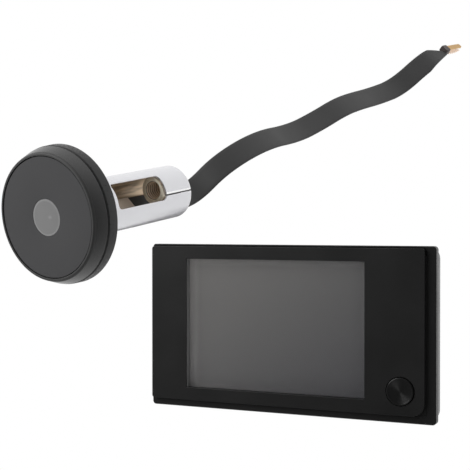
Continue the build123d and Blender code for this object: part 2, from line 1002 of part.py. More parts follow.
def report_cable():
    line = route_line()
    expected = cable_width * cable_thick * line.length
    print("cable bend radii, mm:", [round(radius, 1) for radius in route_radii()])
    print("cable length, mm:", round(line.length, 2))
    print("its volume over section times length:", round(ribbon_cable().volume / expected, 4))
    for point in route_points():
        x, y, z = (outdoor_seat * Pos(point)).position
        print("route point, mm:", round(x, 2), round(y, 2), round(z, 2))


os.makedirs("parts", exist_ok=True)
for piece_name, make in monitor_pieces.items():
    save(piece_name, make(), Pos(0, 0, 0))
for piece_name, make in outdoor_pieces.items():
    save(piece_name, make(), outdoor_seat)
report_cable()
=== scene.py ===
import bpy
import bmesh
import math
from mathutils import Matrix, Vector, geometry


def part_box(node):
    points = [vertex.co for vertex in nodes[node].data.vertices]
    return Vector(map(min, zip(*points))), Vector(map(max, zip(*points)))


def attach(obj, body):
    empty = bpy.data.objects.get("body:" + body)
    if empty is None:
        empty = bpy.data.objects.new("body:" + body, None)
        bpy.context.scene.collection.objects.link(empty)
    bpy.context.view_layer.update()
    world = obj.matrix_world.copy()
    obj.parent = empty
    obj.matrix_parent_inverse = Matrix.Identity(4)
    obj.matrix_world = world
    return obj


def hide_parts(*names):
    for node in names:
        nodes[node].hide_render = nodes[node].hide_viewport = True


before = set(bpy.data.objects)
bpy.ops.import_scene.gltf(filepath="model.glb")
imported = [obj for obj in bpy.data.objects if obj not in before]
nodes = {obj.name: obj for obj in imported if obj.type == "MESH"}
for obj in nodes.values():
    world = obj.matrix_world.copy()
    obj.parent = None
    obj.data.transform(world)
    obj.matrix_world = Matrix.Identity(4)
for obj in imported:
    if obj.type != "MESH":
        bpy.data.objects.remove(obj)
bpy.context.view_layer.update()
print("frame loaded")

mm = 0.001
scene = bpy.context.scene


# Camera: it stands to the right of the monitor, about level with it

camera = {
    "place": (0.1494, -0.4042, 0.0414),
    "turn": 24.06,
    "down": 0.63,
    "lens": 80.9,
    "sensor": 36.0,
    "nearest": 0.01,
    "farthest": 20.0,
}


def makeCamera(values):
    data = bpy.data.cameras.new("viewCamera")
    data.lens = values["lens"]
    data.sensor_width = values["sensor"]
    data.clip_start = values["nearest"]
    data.clip_end = values["farthest"]
    made = bpy.data.objects.new("viewCamera", data)
    made.location = values["place"]
    made.rotation_euler = (math.radians(90 - values["down"]), 0, math.radians(values["turn"]))
    scene.collection.objects.link(made)
    scene.camera = made


makeCamera(camera)


# Node building: a socket that takes part in sums, and a material that grows from it


class Flow:
    def __init__(self, paint, socket):
        self.paint = paint
        self.socket = socket

    def sum(self, operation, first, second):
        return self.paint.node("ShaderNodeMath", {"operation": operation}, {0: first, 1: second})

    def __add__(self, other):
        return self.sum("ADD", self, other)

    def __radd__(self, other):
        return self.sum("ADD", other, self)

    def __sub__(self, other):
        return self.sum("SUBTRACT", self, other)

    def __rsub__(self, other):
        return self.sum("SUBTRACT", other, self)

    def __mul__(self, other):
        return self.sum("MULTIPLY", self, other)

    def __rmul__(self, other):
        return self.sum("MULTIPLY", other, self)

    def __abs__(self):
        return self.sum("ABSOLUTE", self, 0.0)


class Paint:
    def __init__(self, name, tree=None, seated=False):
        self.material = None
        if tree is None:
            self.material = bpy.data.materials.new(name)
            self.material.use_nodes = True
            tree = self.material.node_tree
        self.tree = tree
        self.tree.nodes.clear()
        self.seated = seated

    def node(self, kind, settings=None, sockets=None, output=0):
        made = self.tree.nodes.new(kind)
        for name, value in (settings or {}).items():
            if name == "stops":
                setStops(made.color_ramp, value)
            else:
                setattr(made, name, value)
        for name, value in (sockets or {}).items():
            if isinstance(value, Flow):
                self.tree.links.new(value.socket, made.inputs[name])
            else:
                made.inputs[name].default_value = value
        return Flow(self, made.outputs[output]) if made.outputs else None

    def place(self, output="Object"):
        where = self.node("ShaderNodeTexCoord", output=output)
        if not self.seated:
            return where
        # The outdoor unit's own frame: its face at 0, the barrel along Y
        seat = outdoorSeat()
        sockets = {"Vector": where, "Location": seat.translation, "Rotation": seat.to_euler()}
        return self.node("ShaderNodeMapping", {"vector_type": "TEXTURE"}, sockets)

    def along(self, vector, axis):
        return self.node("ShaderNodeSeparateXYZ", sockets={0: vector}, output=axis)

    def vectors(self, operation, first, second=(0, 0, 0), output=0):
        sockets = {0: first, 1: second}
        return self.node("ShaderNodeVectorMath", {"operation": operation}, sockets, output)

    def stretched(self, vector, scale):
        return self.vectors("MULTIPLY", vector, scale)

    def shifted(self, vector, offset):
        return self.vectors("SUBTRACT", vector, offset)

    def length(self, vector):
        return self.vectors("LENGTH", vector, output="Value")

    def towards(self, vector, direction):
        return self.vectors("DOT_PRODUCT", vector, direction, "Value")

    def aside(self, centre=(0, 0, 0)):
        # Distance from an axis along Y through this centre
        return self.length(self.stretched(self.shifted(self.place(), centre), (1.0, 0.0, 1.0)))

    def noise(self, scale, detail=2.0, vector=None):
        sockets = {"Vector": vector or self.place(), "Scale": scale, "Detail": detail}
        return self.node("ShaderNodeTexNoise", sockets=sockets)

    def grains(self, scale):
        return self.node("ShaderNodeTexVoronoi", sockets={"Vector": self.place(), "Scale": scale})

    def clamped(self, value, low, high, toLow=0.0, toHigh=1.0, soft=True):
        kind = "SMOOTHSTEP" if soft else "LINEAR"
        sockets = {"Value": value, "From Min": low, "From Max": high, "To Min": toLow, "To Max": toHigh}
        return self.node("ShaderNodeMapRange", {"interpolation_type": kind, "clamp": True}, sockets)

    def uneven(self, cloud, low, high):
        # Noise stays mostly between these two values
        return self.clamped(cloud, 0.3, 0.7, low, high)

    def unevenGloss(self, cloud, values):
        return self.uneven(cloud, values["rough"], values["rough"] + values["roughSpread"])

    def mixed(self, factor, first, second):
        return self.node("ShaderNodeMix", {"data_type": "RGBA"}, {0: factor, 6: first, 7: second}, 2)

    def varied(self, cloud, colour, spread):
        # The colour, darker and lighter by this share from place to place
        return self.mixed(cloud, shade(colour, 1 - spread), shade(colour, 1 + spread))

    def bump(self, height, strength, depth):
        sockets = {"Height": height, "Strength": strength, "Distance": depth}
        return self.node("ShaderNodeBump", sockets=sockets)

    def surface(self, sockets):
        return self.node("ShaderNodeBsdfPrincipled", sockets=sockets)

    def done(self, shader):
        self.node("ShaderNodeOutputMaterial", sockets={"Surface": shader})
        return self.material

    def finished(self, sockets):
        return self.done(self.surface(sockets))


def setStops(ramp, stops):
    while len(ramp.elements) > 1:
        ramp.elements.remove(ramp.elements[-1])
    ramp.elements[0].position = stops[0][0]
    ramp.elements[0].color = shade(stops[0][1])
    for position, value in stops[1:]:
        ramp.elements.new(position).color = shade(value)


def shade(colour, factor=1.0):
    # One number stands for a grey
    parts = colour if isinstance(colour, tuple) else (colour,) * 3
    return tuple(min(1.0, part * factor) for part in parts) + (1,)


# Stage: soft surroundings, which gloss sees darker in front than behind, and a pale floor below

stage = {
    "diffuse": 0.58,
    "glossWay": (-0.35, 0.8, 0.25),
    "glossStops": (
        (0.0, 0.08),
        (0.14, 0.1),
        (0.24, 0.22),
        (0.36, 0.44),
        (0.5, 0.7),
        (0.62, 0.82),
        (1.0, 0.95),
    ),
    "floorDrop": 0.25,
    "floorSize": 8.0,
    "floorValue": 0.86,
    "floorCloud": 3.0,
    "floorMottle": 0.01,
    "floorRough": 0.9,
    "floorGloss": 0.1,
    "floorNear": 0.35,
    "floorFar": 0.65,
}

lamps = {
    "keySoftbox": {"place": (-0.75, -0.75, 0.55), "size": 0.7, "power": 8.8, "shiny": True},
    "topSoftbox": {"place": (0.05, 0.1, 0.9), "size": 0.8, "power": 5.0, "shiny": False},
    "sideSoftbox": {"place": (0.85, 0.25, 0.2), "size": 0.6, "power": 4.0, "shiny": False},
    "rimSoftbox": {"place": (0.4, 0.95, 0.1), "size": 0.6, "power": 0.35, "shiny": True},
}

lampAim = (0.02, -0.09, 0.02)


def makeSurroundings(values):
    world = bpy.data.worlds.new("studioWorld")
    world.use_nodes = True
    scene.world = world
    paint = Paint("studioWorld", world.node_tree)
    rayKind = {}
    for kind in ("Is Camera Ray", "Is Glossy Ray", "Is Transmission Ray"):
        rayKind[kind] = paint.node("ShaderNodeLightPath", output=kind)
    behind = paint.towards(paint.place("Generated"), values["glossWay"])
    sheen = paint.node("ShaderNodeValToRGB", {"stops": values["glossStops"]}, {0: behind * 0.5 + 0.5})
    plain = paint.node("ShaderNodeBackground", sockets={"Color": shade(1), "Strength": values["diffuse"]})
    shiny = paint.node("ShaderNodeBackground", sockets={"Color": sheen, "Strength": 1.0})
    white = paint.node("ShaderNodeBackground", sockets={"Color": shade(1), "Strength": 1.0})
    seen = rayKind["Is Camera Ray"] + rayKind["Is Transmission Ray"]
    first = paint.node("ShaderNodeMixShader", sockets={0: rayKind["Is Glossy Ray"], 1: plain, 2: shiny})
    both = paint.node("ShaderNodeMixShader", sockets={0: seen, 1: first, 2: white})
    paint.node("ShaderNodeOutputWorld", sockets={"Surface": both})


def makeFloor(values):
    half = values["floorSize"] / 2
    low = -values["floorDrop"]
    corners = [(-half, -half, low), (half, -half, low), (half, half, low), (-half, half, low)]
    mesh = bpy.data.meshes.new("paleFloor")
    mesh.from_pydata(corners, [], [(0, 1, 2, 3)])
    floor = bpy.data.objects.new("paleFloor", mesh)
    scene.collection.objects.link(floor)
    paint = Paint("paleFloor")
    # Away from the object the camera sees plain white; near it the floor takes the shadow
    far = paint.clamped(paint.length(paint.place()), values["floorNear"], values["floorFar"])
    seen = paint.node("ShaderNodeLightPath", output="Is Camera Ray")
    value = values["floorValue"]
    matt = paint.surface({
        "Base Color": paint.uneven(paint.noise(values["floorCloud"]), value - values["floorMottle"], value),
        "Roughness": values["floorRough"],
        "Specular IOR Level": values["floorGloss"],
    })
    glow = paint.node("ShaderNodeEmission", sockets={"Color": shade(1), "Strength": 1.0})
    shader = paint.node("ShaderNodeMixShader", sockets={0: far * seen, 1: matt, 2: glow})
    mesh.materials.append(paint.done(shader))
    floor.visible_glossy = False


def makeLamps(values):
    for name, lamp in values.items():
        data = bpy.data.lights.new(name, "AREA")
        data.shape = "SQUARE"
        data.size = lamp["size"]
        data.energy = lamp["power"]
        made = bpy.data.objects.new(name, data)
        made.location = lamp["place"]
        made.rotation_mode = "QUATERNION"
        made.rotation_quaternion = (Vector(lampAim) - made.location).to_track_quat("-Z", "Y")
        made.visible_glossy = lamp["shiny"]
        scene.collection.objects.link(made)


makeSurroundings(stage)
makeFloor(stage)
makeLamps(lamps)
scene.view_settings.view_transform = "Standard"
print("camera and stage made")


# Placing and shaping: turned rings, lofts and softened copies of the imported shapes

outdoor = {"place": (8.1 * mm, -196.4 * mm, 42.7 * mm), "turn": 12.06, "lift": 9.05}


def outdoorSeat():
    turn = Matrix.Rotation(math.radians(-outdoor["turn"]), 4, "Z")
    lift = Matrix.Rotation(math.radians(outdoor["lift"]), 4, "X")
    return Matrix.Translation(outdoor["place"]) @ turn @ lift


def putOut(name, mesh, material, body, replaced, seated=False):
    if seated:
        mesh.transform(outdoorSeat())
    piece = bpy.data.objects.new(name, mesh)
    scene.collection.objects.link(piece)
    mesh.materials.clear()
    mesh.materials.append(material)
    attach(piece, body)
    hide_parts(replaced)
    return piece


def roundedProfile(points, steps=5):
    # Each point is (radius, depth) or (radius, depth, rounding), going round the section
    line = []
    count = len(points)
    for index, point in enumerate(points):
        here = Vector(point[:2])
        if len(point) < 3:
            line.append(here)
            continue
        rounding = point[2]
        before = (Vector(points[index - 1][:2]) - here).normalized()
        after = (Vector(points[(index + 1) % count][:2]) - here).normalized()
        half = before.angle(after) / 2
        reach = rounding / math.tan(half)
        centre = here + (before + after).normalized() * (rounding / math.sin(half))
        start = here + before * reach - centre
        sweep = (here + after * reach - centre).angle_signed(start)
        for step in range(steps + 1):
            turned = start.copy()
            turned.rotate(Matrix.Rotation(sweep * step / steps, 2))
            line.append(centre + turned)
    return line


def facesBetween(rows, around=True, closed=False):
    # The corners of each face between rows of points; a row of one point is the middle of a disc
    pairs = list(zip(rows, rows[1:]))
    if closed:
        pairs.append((rows[-1], rows[0]))
    count = max(len(row) for row in rows)
    for first, second in pairs:
        for step in range(count if around else count - 1):
            corners = []
            for row, index in ((first, step), (first, step + 1), (second, step + 1), (second, step)):
                corner = row[index % len(row)]
                if corner not in corners:
                    corners.append(corner)
            if len(corners) > 2:
                yield corners


def joinRings(work, rings, closed=False):
    for corners in facesBetween(rings, closed=closed):
        work.faces.new(corners)


def turnedMesh(name, points, steps):
    work = bmesh.new()
    rings = []
    for radius, depth in roundedProfile(points):
        if radius < 1e-7:
            rings.append([work.verts.new((0, depth, 0))])
            continue
        ring = []
        for step in range(steps):
            angle = 2 * math.pi * step / steps
            ring.append(work.verts.new((radius * math.cos(angle), depth, radius * math.sin(angle))))
        rings.append(ring)
    joinRings(work, rings, closed=len(rings[0]) > 1 and len(rings[-1]) > 1)
    return finishMesh(name, work)


def finishMesh(name, work, sharp=28):
    bmesh.ops.recalc_face_normals(work, faces=work.faces)
    mesh = bpy.data.meshes.new(name)
    work.to_mesh(mesh)
    work.free()
    mesh.shade_smooth()
    mesh.set_sharp_from_angle(angle=math.radians(sharp))
    return mesh


softening = {
    "merge": 0.002 * mm,
    "flatAngle": 0.6,
    "cornerAngle": 30.0,
    "steps": 3,
    "sharpAngle": 24.0,
}


def softenedMesh(name, node, edge):
    work = bmesh.new()
    work.from_mesh(nodes[node].data)
    bmesh.ops.remove_doubles(work, verts=work.verts, dist=softening["merge"])
    flat = math.radians(softening["flatAngle"])
    bmesh.ops.dissolve_limit(work, angle_limit=flat, verts=work.verts, edges=work.edges)
    corner = math.radians(softening["cornerAngle"])
    sharp = [line for line in work.edges if line.is_manifold and line.calc_face_angle() > corner]
    bmesh.ops.bevel(
        work,
        geom=sharp,
        offset=edge,
        segments=softening["steps"],
        profile=0.5,
        affect="EDGES",
        clamp_overlap=True,
    )
    return finishMesh(name, work, softening["sharpAngle"])


def softened(name, node, body, material, edge):
    piece = putOut(name, softenedMesh(name, node, edge), material, body, node)
    even = piece.modifiers.new("evenNormals", "WEIGHTED_NORMAL")
    even.keep_sharp = True
    return piece


def repaint(node, material):
    mesh = nodes[node].data
    mesh.materials.clear()
    mesh.materials.append(material)


# Finishes

satinLook = {"cloud": 45.0, "spread": 0.08, "grains": 5200.0, "grain": 0.1, "grainDepth": 0.01 * mm}
sparkLook = {
    "cloud": 60.0,
    "spread": 0.15,
    "gloss": 0.4,
    "grains": 3200.0,
    "grain": 0.35,
    "grainDepth": 0.03 * mm,
}
metalLook = {"scale": 220.0, "stretch": (1.0, 14.0, 1.0), "darker": 0.9, "depth": 0.01 * mm}
plainLook = {"scale": 400.0, "spread": 0.12, "bump": 0.08, "depth": 0.02 * mm}
filmLook = {
    "scale": 90.0,
    "darker": 0.92,
    "lighter": 1.1,
    "gloss": 0.3,
    "grains": 2600.0,
    "bump": 0.12,
    "depth": 0.02 * mm,
}


def satinMaterial(name, value, rough, gloss, paintedWallLight=None):
    # Moulded plastic with a fine satin surface, a little uneven in gloss
    paint = Paint(name)
    cloud = paint.noise(satinLook["cloud"], 3.0)
    colour = paint.varied(cloud, value, satinLook["spread"])
    # On the window's wall a paler colour is painted light
    if paintedWallLight:
        colour = paint.mixed(paintedWallLight(paint), colour, shade(face["paintedWallValue"]))
    grains = paint.grains(satinLook["grains"])
    return paint.finished({
        "Base Color": colour,
        "Roughness": paint.uneven(cloud, rough - 0.03, rough + 0.04),
        "Specular IOR Level": gloss,
        "Normal": paint.bump(grains, satinLook["grain"], satinLook["grainDepth"]),
    })


def sparkMaterial(name, value, rough):
    # Moulded plastic with a coarser, spark-eroded texture
    paint = Paint(name)
    fine = paint.noise(sparkLook["grains"], 4.0)
    cloud = paint.noise(sparkLook["cloud"])
    return paint.finished({
        "Base Color": paint.varied(fine, value, sparkLook["spread"]),
        "Roughness": paint.uneven(cloud, rough - 0.04, rough + 0.05),
        "Specular IOR Level": sparkLook["gloss"],
        "Normal": paint.bump(fine, sparkLook["grain"], sparkLook["grainDepth"]),
    })


def metalMaterial(name, colour, rough, scratch=0.05):
    paint = Paint(name)
    rub = paint.noise(metalLook["scale"], 4.0, paint.stretched(paint.place(), metalLook["stretch"]))
    return paint.finished({
        "Base Color": paint.mixed(rub, shade(colour, metalLook["darker"]), shade(colour)),
        "Metallic": 1.0,
        "Roughness": paint.uneven(rub, rough * 0.8, rough * 1.25),
        "Normal": paint.bump(rub, scratch, metalLook["depth"]),
    })


def plainMaterial(name, colour, rough):
    # Small pieces: their colour varies a little and their surface is slightly uneven
    paint = Paint(name)
    cloud = paint.noise(plainLook["scale"], 3.0)
    return paint.finished({
        "Base Color": paint.varied(cloud, colour, plainLook["spread"]),
        "Roughness": paint.uneven(cloud, rough - 0.05, rough + 0.05),
        "Normal": paint.bump(cloud, plainLook["bump"], plainLook["depth"]),
    })


def filmMaterial(name, colour, rough):
    # The flat cable's jacket, slightly patchy
    paint = Paint(name)
    patchy = paint.noise(filmLook["scale"], 3.0)
    dark = shade(colour, filmLook["darker"])
    light = shade(colour, filmLook["lighter"])
    return paint.finished({
        "Base Color": paint.mixed(patchy, dark, light),
        "Roughness": paint.uneven(patchy, rough - 0.04, rough + 0.08),
        "Specular IOR Level": filmLook["gloss"],
        "Normal": paint.bump(paint.noise(filmLook["grains"]), filmLook["bump"], filmLook["depth"]),
    })


# The flat cable comes first: a strip along one smooth line, with its connector on the end

cable = {
    "length": 0.138,
    "width": 7.0 * mm,
    "thick": 0.7 * mm,
    "edge": 0.28 * mm,
    "turn": -46.5,
    "start": 46.5 * mm,
    "route": (
        (-0.012, -0.0039),
        (-0.004, -0.0039),
        (0.003, -0.0048),
        (0.012, -0.003),
        (0.0158, 0.008),
        (0.0285, 0.0155),
        (0.045, 0.016),
        (0.0543, 0.0201),
        (0.0617, 0.0248),
        (0.069, 0.0266),
        (0.08, 0.0278),
        (0.0922, 0.0306),
        (0.098, 0.041),
        (0.1034, 0.0437),
        (0.1088, 0.0444),
    ),
    "value": 0.038,
    "rough": 0.5,
    "upperTaper": 7.0 * mm,
    "upperEnd": 0.8 * mm,
    "lowerTaper": 11.5 * mm,
    "lowerEnd": 0.7 * mm,
    "sharpAngle": 40.0,
    "endsSharpAngle": 50.0,
}


def cableAcross():
    angle = math.radians(cable["turn"])
    return Vector((math.cos(angle), 0, math.sin(angle)))


def cableRoutePoints():
    up = cableAcross().cross(Vector((0, 1, 0)))
    start = Vector((0, cable["start"], 0))
    seat = outdoorSeat()
    return [seat @ (start + Vector((0, ahead, 0)) + up * aside) for ahead, aside in cable["route"]]


def smoothLine(points, steps=12):
    data = bpy.data.curves.new("cableLine", "CURVE")
    data.dimensions = "3D"
    data.resolution_u = steps
    spline = data.splines.new("NURBS")
    spline.points.add(len(points) - 1)
    for place, point in zip(spline.points, points):
        place.co = (*point, 1)
    spline.order_u = 3
    spline.use_endpoint_u = True
    holder = bpy.data.objects.new("cableLine", data)
    scene.collection.objects.link(holder)
    mesh = bpy.data.meshes.new_from_object(holder)
    line = [vertex.co.copy() for vertex in mesh.vertices]
    bpy.data.objects.remove(holder)
    bpy.data.meshes.remove(mesh)
    return line


def barSection(low, high, thick, edge, steps=4, inner=6):
    # Points round a flat bar's section from low to high, with rounded corners
    rise = thick / 2 - edge
    points = []
    for cornerX, cornerY, first in (
        (high - edge, rise, 0),
        (low + edge, rise, 90),
        (low + edge, -rise, 180),
        (high - edge, -rise, 270),
    ):
        for step in range(steps + 1):
            angle = math.radians(first + 90 * step / steps)
            points.append((cornerX + edge * math.cos(angle), cornerY + edge * math.sin(angle)))
        if first in (0, 180):
            start, end, side = (high, low, thick / 2) if first == 0 else (low, high, -thick / 2)
            for step in range(1, inner):
                points.append((start + (end - start) * step / inner, side))
    return points


def loftBar(work, stations):
    # Each station is (middle, across, outwards, section)
    rings = []
    for middle, across, outwards, section in stations:
        rings.append([work.verts.new(middle + across * x + outwards * y) for x, y in section])
    joinRings(work, rings)
    work.faces.new(rings[0])
    work.faces.new(rings[-1])


def easedWidth(left, reach, end):
    # Half width that narrows to its end value over this reach before the strip's end
    half = cable["width"] / 2
    share = min(1.0, left / reach)
    return end + (half - end) * share


def makeStrip(line):
    work = bmesh.new()
    across = outdoorSeat().to_3x3() @ cableAcross()
    left = sum((after - here).length for here, after in zip(line, line[1:]))
    stations = []
    for index, point in enumerate(line):
        if index > 0:
            left -= (point - line[index - 1]).length
        ahead = line[min(index + 1, len(line) - 1)]
        tangent = (ahead - line[max(index - 1, 0)]).normalized()
        low = -easedWidth(left, cable["upperTaper"], cable["upperEnd"])
        high = easedWidth(left, cable["lowerTaper"], cable["lowerEnd"])
        section = barSection(low, high, cable["thick"], cable["edge"])
        stations.append((point, across, across.cross(tangent), section))
    loftBar(work, stations)
    mesh = finishMesh("flatCable", work, cable["sharpAngle"])
    material = filmMaterial("blackFilm", cable["value"], cable["rough"])
    return putOut("flatCable", mesh, material, "root", "ribbon_cable")


plug = {
    "length": 2.4 * mm,
    "width": 2.8 * mm,
    "thick": 1.9 * mm,
    "aside": 1.3 * mm,
    "lift": 0.25 * mm,
    "edge": 0.35 * mm,
    "start": 0.0,
    "lean": 0.0,
    "profile": ((0.0, 0.86), (0.08, 0.96), (0.16, 1.0), (0.84, 1.0), (0.92, 0.96), (1.0, 0.86)),
    "look": (plainMaterial, "plugBlock", (0.035, 0.024, 0.022), 0.4),
}

tongue = {
    "length": 8.2 * mm,
    "width": 1.75 * mm,
    "thick": 0.5 * mm,
    "aside": 1.55 * mm,
    "lift": 0.7 * mm,
    "edge": 0.15 * mm,
    "start": plug["length"],
    "lean": 0.045,
    "ribs": 3,
    "ribProud": 0.07 * mm,
    "ribShare": 0.3,
    "ribProfile": ((0.0, 1.0), (0.9, 1.0), (0.93, 0.8)),
    "look": (metalMaterial, "goldTongue", (0.74, 0.5, 0.24), 0.34, 0.0),
}

stiffener = {
    "length": 7.9 * mm,
    "width": 2.0 * mm,
    "thick": 0.3 * mm,
    "aside": 0.9 * mm,
    "lift": -0.5 * mm,
    "edge": 0.1 * mm,
    "start": plug["length"],
    "lean": 0.045,
    "profile": ((0.0, 1.0), (0.45, 0.95), (0.75, 0.6), (1.0, 0.3)),
    "look": (plainMaterial, "paleFilm", (0.84, 0.7, 0.6), 0.4),
}


def endBar(work, values, profile, low, high, thick, lift):
    # A bar past the cable's end; profile is a list of (share of its length, share of its width)
    points = cableRoutePoints()
    tangent = (points[-1] - points[-2]).normalized()
    across = outdoorSeat().to_3x3() @ cableAcross()
    outwards = across.cross(tangent)
    tangent = (tangent + across * values["lean"]).normalized()
    middle = points[-1] - across * values["aside"] + outwards * lift
    stations = []
    for lengthShare, widthShare in profile:
        # Towards a narrow tip the bar also thins, and its rounding shrinks
        edge = min(values["edge"], thick * 0.45) * min(1.0, widthShare)
        thinned = thick * min(1.0, 0.4 + widthShare)
        section = barSection(low * widthShare, high * widthShare, thinned, edge, 3, 4)
        place = middle + tangent * (values["start"] + values["length"] * lengthShare)
        stations.append((place, across, outwards, section))
    loftBar(work, stations)


def roundTip(reachShare, steps=6, last=85):
    # Width shares along a bar whose tip is a half round
    profile = [(0.0, 1.0)]
    for step in range(steps + 1):
        angle = math.radians(last * step / steps)
        profile.append((1 - reachShare * (1 - math.sin(angle)), math.cos(angle)))
    return profile


def makeEndPiece(name, node, values):
    work = bmesh.new()
    half = values["width"] / 2
    profile = values.get("profile") or roundTip(half / values["length"])
    endBar(work, values, profile, -half, half, values["thick"], values["lift"])
    # Its ribs are bars that stand a little proud of it
    ribs = values.get("ribs", 0)
    for index in range(ribs):
        pitch = values["width"] / (ribs + 1)
        middle = pitch * (index + 1) - half
        reach = pitch * values["ribShare"]
        top = values["lift"] + values["thick"] / 2
        thick = values["ribProud"] * 2
        endBar(work, values, values["ribProfile"], middle - reach, middle + reach, thick, top)
    mesh = finishMesh(name, work, cable["endsSharpAngle"])
    makeMaterial, *look = values["look"]
    return putOut(name, mesh, makeMaterial(*look), "root", node)


def makeCable():
    line = smoothLine(cableRoutePoints())
    strip = makeStrip(line)
    way = outdoorSeat()
    ends = [
        makeEndPiece("cablePlug", "ribbon_plug", plug),
        makeEndPiece("cableTongue", "ribbon_contacts", tongue),
        makeEndPiece("cableStiffener", "ribbon_stiffener", stiffener),
    ]
    [tuple(point) for point in line]


makeCable()
print("flat cable made")


# The monitor's case

face = {
    "frameValue": 0.006,
    "frameRough": 0.4,
    "frameGloss": 0.26,
    "frameEdge": 0.16 * mm,
    "panelValue": 0.005,
    "panelRough": 0.39,
    "panelGloss": 0.38,
    "panelEdge": 0.28 * mm,
    "panelInset": 0.65 * mm,
    # The paler colour painted as light on the window's wall
    "paintedWallValue": 0.14,
    "wallReach": 0.12 * mm,
    "sideLap": 1.65 * mm,
}

case = {
    "value": 0.036,
    "rough": 0.34,
    "edge": 0.35 * mm,
    "coverValue": 0.038,
    "coverRough": 0.5,
    "coverEdge": 0.15 * mm,
}


def windowWallLight(paint):
    # The left wall of the panel's window, where a paler colour is painted light
    where = paint.place()
    low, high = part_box("lcd_panel")
    reach = face["wallReach"]
    fromWall = abs(paint.along(where, "X") - (low.x + face["sideLap"]))
    wall = 1 - paint.clamped(fromWall, reach, reach * 1.5)
    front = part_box("display_panel")[0].y + face["panelEdge"]
    wall = wall * paint.clamped(paint.along(where, "Y"), front, front + reach)
    half = (high.z - low.z) / 2
    height = abs(paint.along(where, "Z") - (low.z + high.z) / 2)
    return wall * paint.clamped(height, half, half + reach, 1.0, 0.0)


def insetLeft(piece, inset):
    # The raised panel's left side stands a little in from the frame's
    edge = min(vertex.co.x for vertex in piece.data.vertices)
    for vertex in piece.data.vertices:
        if vertex.co.x < edge + 2 * inset:
            vertex.co.x += inset


def makeCase():
    satin = satinMaterial("frameSatin", face["frameValue"], face["frameRough"], face["frameGloss"])
    softened("frontFrame", "front_frame", "monitor", satin, face["frameEdge"])
    # The panel's window wall gets painted light
    satin = satinMaterial(
        "panelSatin", face["panelValue"], face["panelRough"], face["panelGloss"], windowWallLight
    )
    panel = softened("displayPanel", "display_panel", "monitor", satin, face["panelEdge"])
    insetLeft(panel, face["panelInset"])
    spark = sparkMaterial("caseSpark", case["value"], case["rough"])
    softened("rearCase", "rear_case", "monitor", spark, case["edge"])
    spark = sparkMaterial("coverSpark", case["coverValue"], case["coverRough"])
    softened("batteryCover", "battery_cover", "battery_cover", spark, case["coverEdge"])


makeCase()


# The display: painted light makes it lighter towards its upper left, behind a clear pane

display = {
    # Lit and shaded copies of the display's grey, mixed by the painted light
    "light": (0.2, 0.195, 0.189),
    "dark": (0.061, 0.061, 0.068),
    "cloud": 900.0,
    "rough": 0.5,
    "roughSpread": 0.06,
    "gloss": 0.2,
    "border": 3.2 * mm,
    "borderPaintedLift": 1.3,
    "topPaintedLift": 1.75,
    "leftBorder": 5.0 * mm,
    "leftPaintedLift": 2.3,
}

pane = {"value": 0.05, "cloud": 40.0, "rough": 0.1, "roughSpread": 0.04, "alpha": 0.12, "ior": 1.5}


def displayMaterial():
    paint = Paint("displayGrey")
    low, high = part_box("lcd_panel")
    where = paint.place()
    # Painted light: the grey is lighter towards the upper left
    across = paint.clamped(paint.along(where, "X"), low.x, high.x, soft=False)
    upwards = paint.clamped(paint.along(where, "Z"), low.z, high.z, soft=False)
    paintedLight = upwards * 0.5 + (1 - across) * 0.5
    # Its border lies in the panel's shade, so painted light makes its colour lighter there
    middle = (low + high) / 2
    half = (high - low) / 2 - Vector((1, 0, 1)) * face["sideLap"]
    aside = paint.along(where, "X") - middle.x
    height = paint.along(where, "Z") - middle.z
    fromLeft = paint.clamped(aside + half.x, 0.0, display["leftBorder"])
    fromTop = paint.clamped(half.z - height, 0.0, display["border"])
    fromRight = paint.clamped(half.x - aside, 0.0, display["border"])
    fromBottom = paint.clamped(height + half.z, 0.0, display["border"])

    def paintedLift(colour):
        rest = paint.mixed(fromRight * fromBottom, shade(colour, display["borderPaintedLift"]), shade(colour))
        upper = paint.mixed(fromTop, shade(colour, display["topPaintedLift"]), rest)
        return paint.mixed(fromLeft, shade(colour, display["leftPaintedLift"]), upper)

    return paint.finished({
        "Base Color": paint.mixed(paintedLight, paintedLift(display["dark"]), paintedLift(display["light"])),
        "Roughness": paint.unevenGloss(paint.noise(display["cloud"]), display),
        "Specular IOR Level": display["gloss"],
    })


def paneMaterial():
    paint = Paint("clearPane")
    return paint.finished({
        "Base Color": shade(pane["value"]),
        "Roughness": paint.unevenGloss(paint.noise(pane["cloud"]), pane),
        "Alpha": pane["alpha"],
        "IOR": pane["ior"],
    })


repaint("lcd_panel", displayMaterial())
repaint("display_window", paneMaterial())


# The button: turned metal whose fine rings spread the light into wedges round its middle

button = {
    "radius": 5.2 * mm,
    "dish": 0.25 * mm,
    "dishEdge": 0.5 * mm,
    "edge": 0.3 * mm,
    "rim": 0.45 * mm,
    "rimEdge": 0.1 * mm,
    "flangeRadius": 6.2 * mm,
    "flange": 0.8 * mm,
    "flangeGap": 0.1 * mm,
    "flangeEdge": 0.1 * mm,
    "stemRadius": 1.5 * mm,
    "stemEdge": 0.2 * mm,
    "steps": 160,
    "ringPitch": 0.12 * mm,
    "ringDepth": 0.004 * mm,
    "ringGrain": 0.25,
    "cloud": 9000.0,
    "value": 0.032,
    "spread": 0.25,
    "rough": 0.3,
    "roughSpread": 0.1,
    "metallic": 0.9,
    "anisotropy": 0.85,
    "wedgeTurn": 0.25,
}


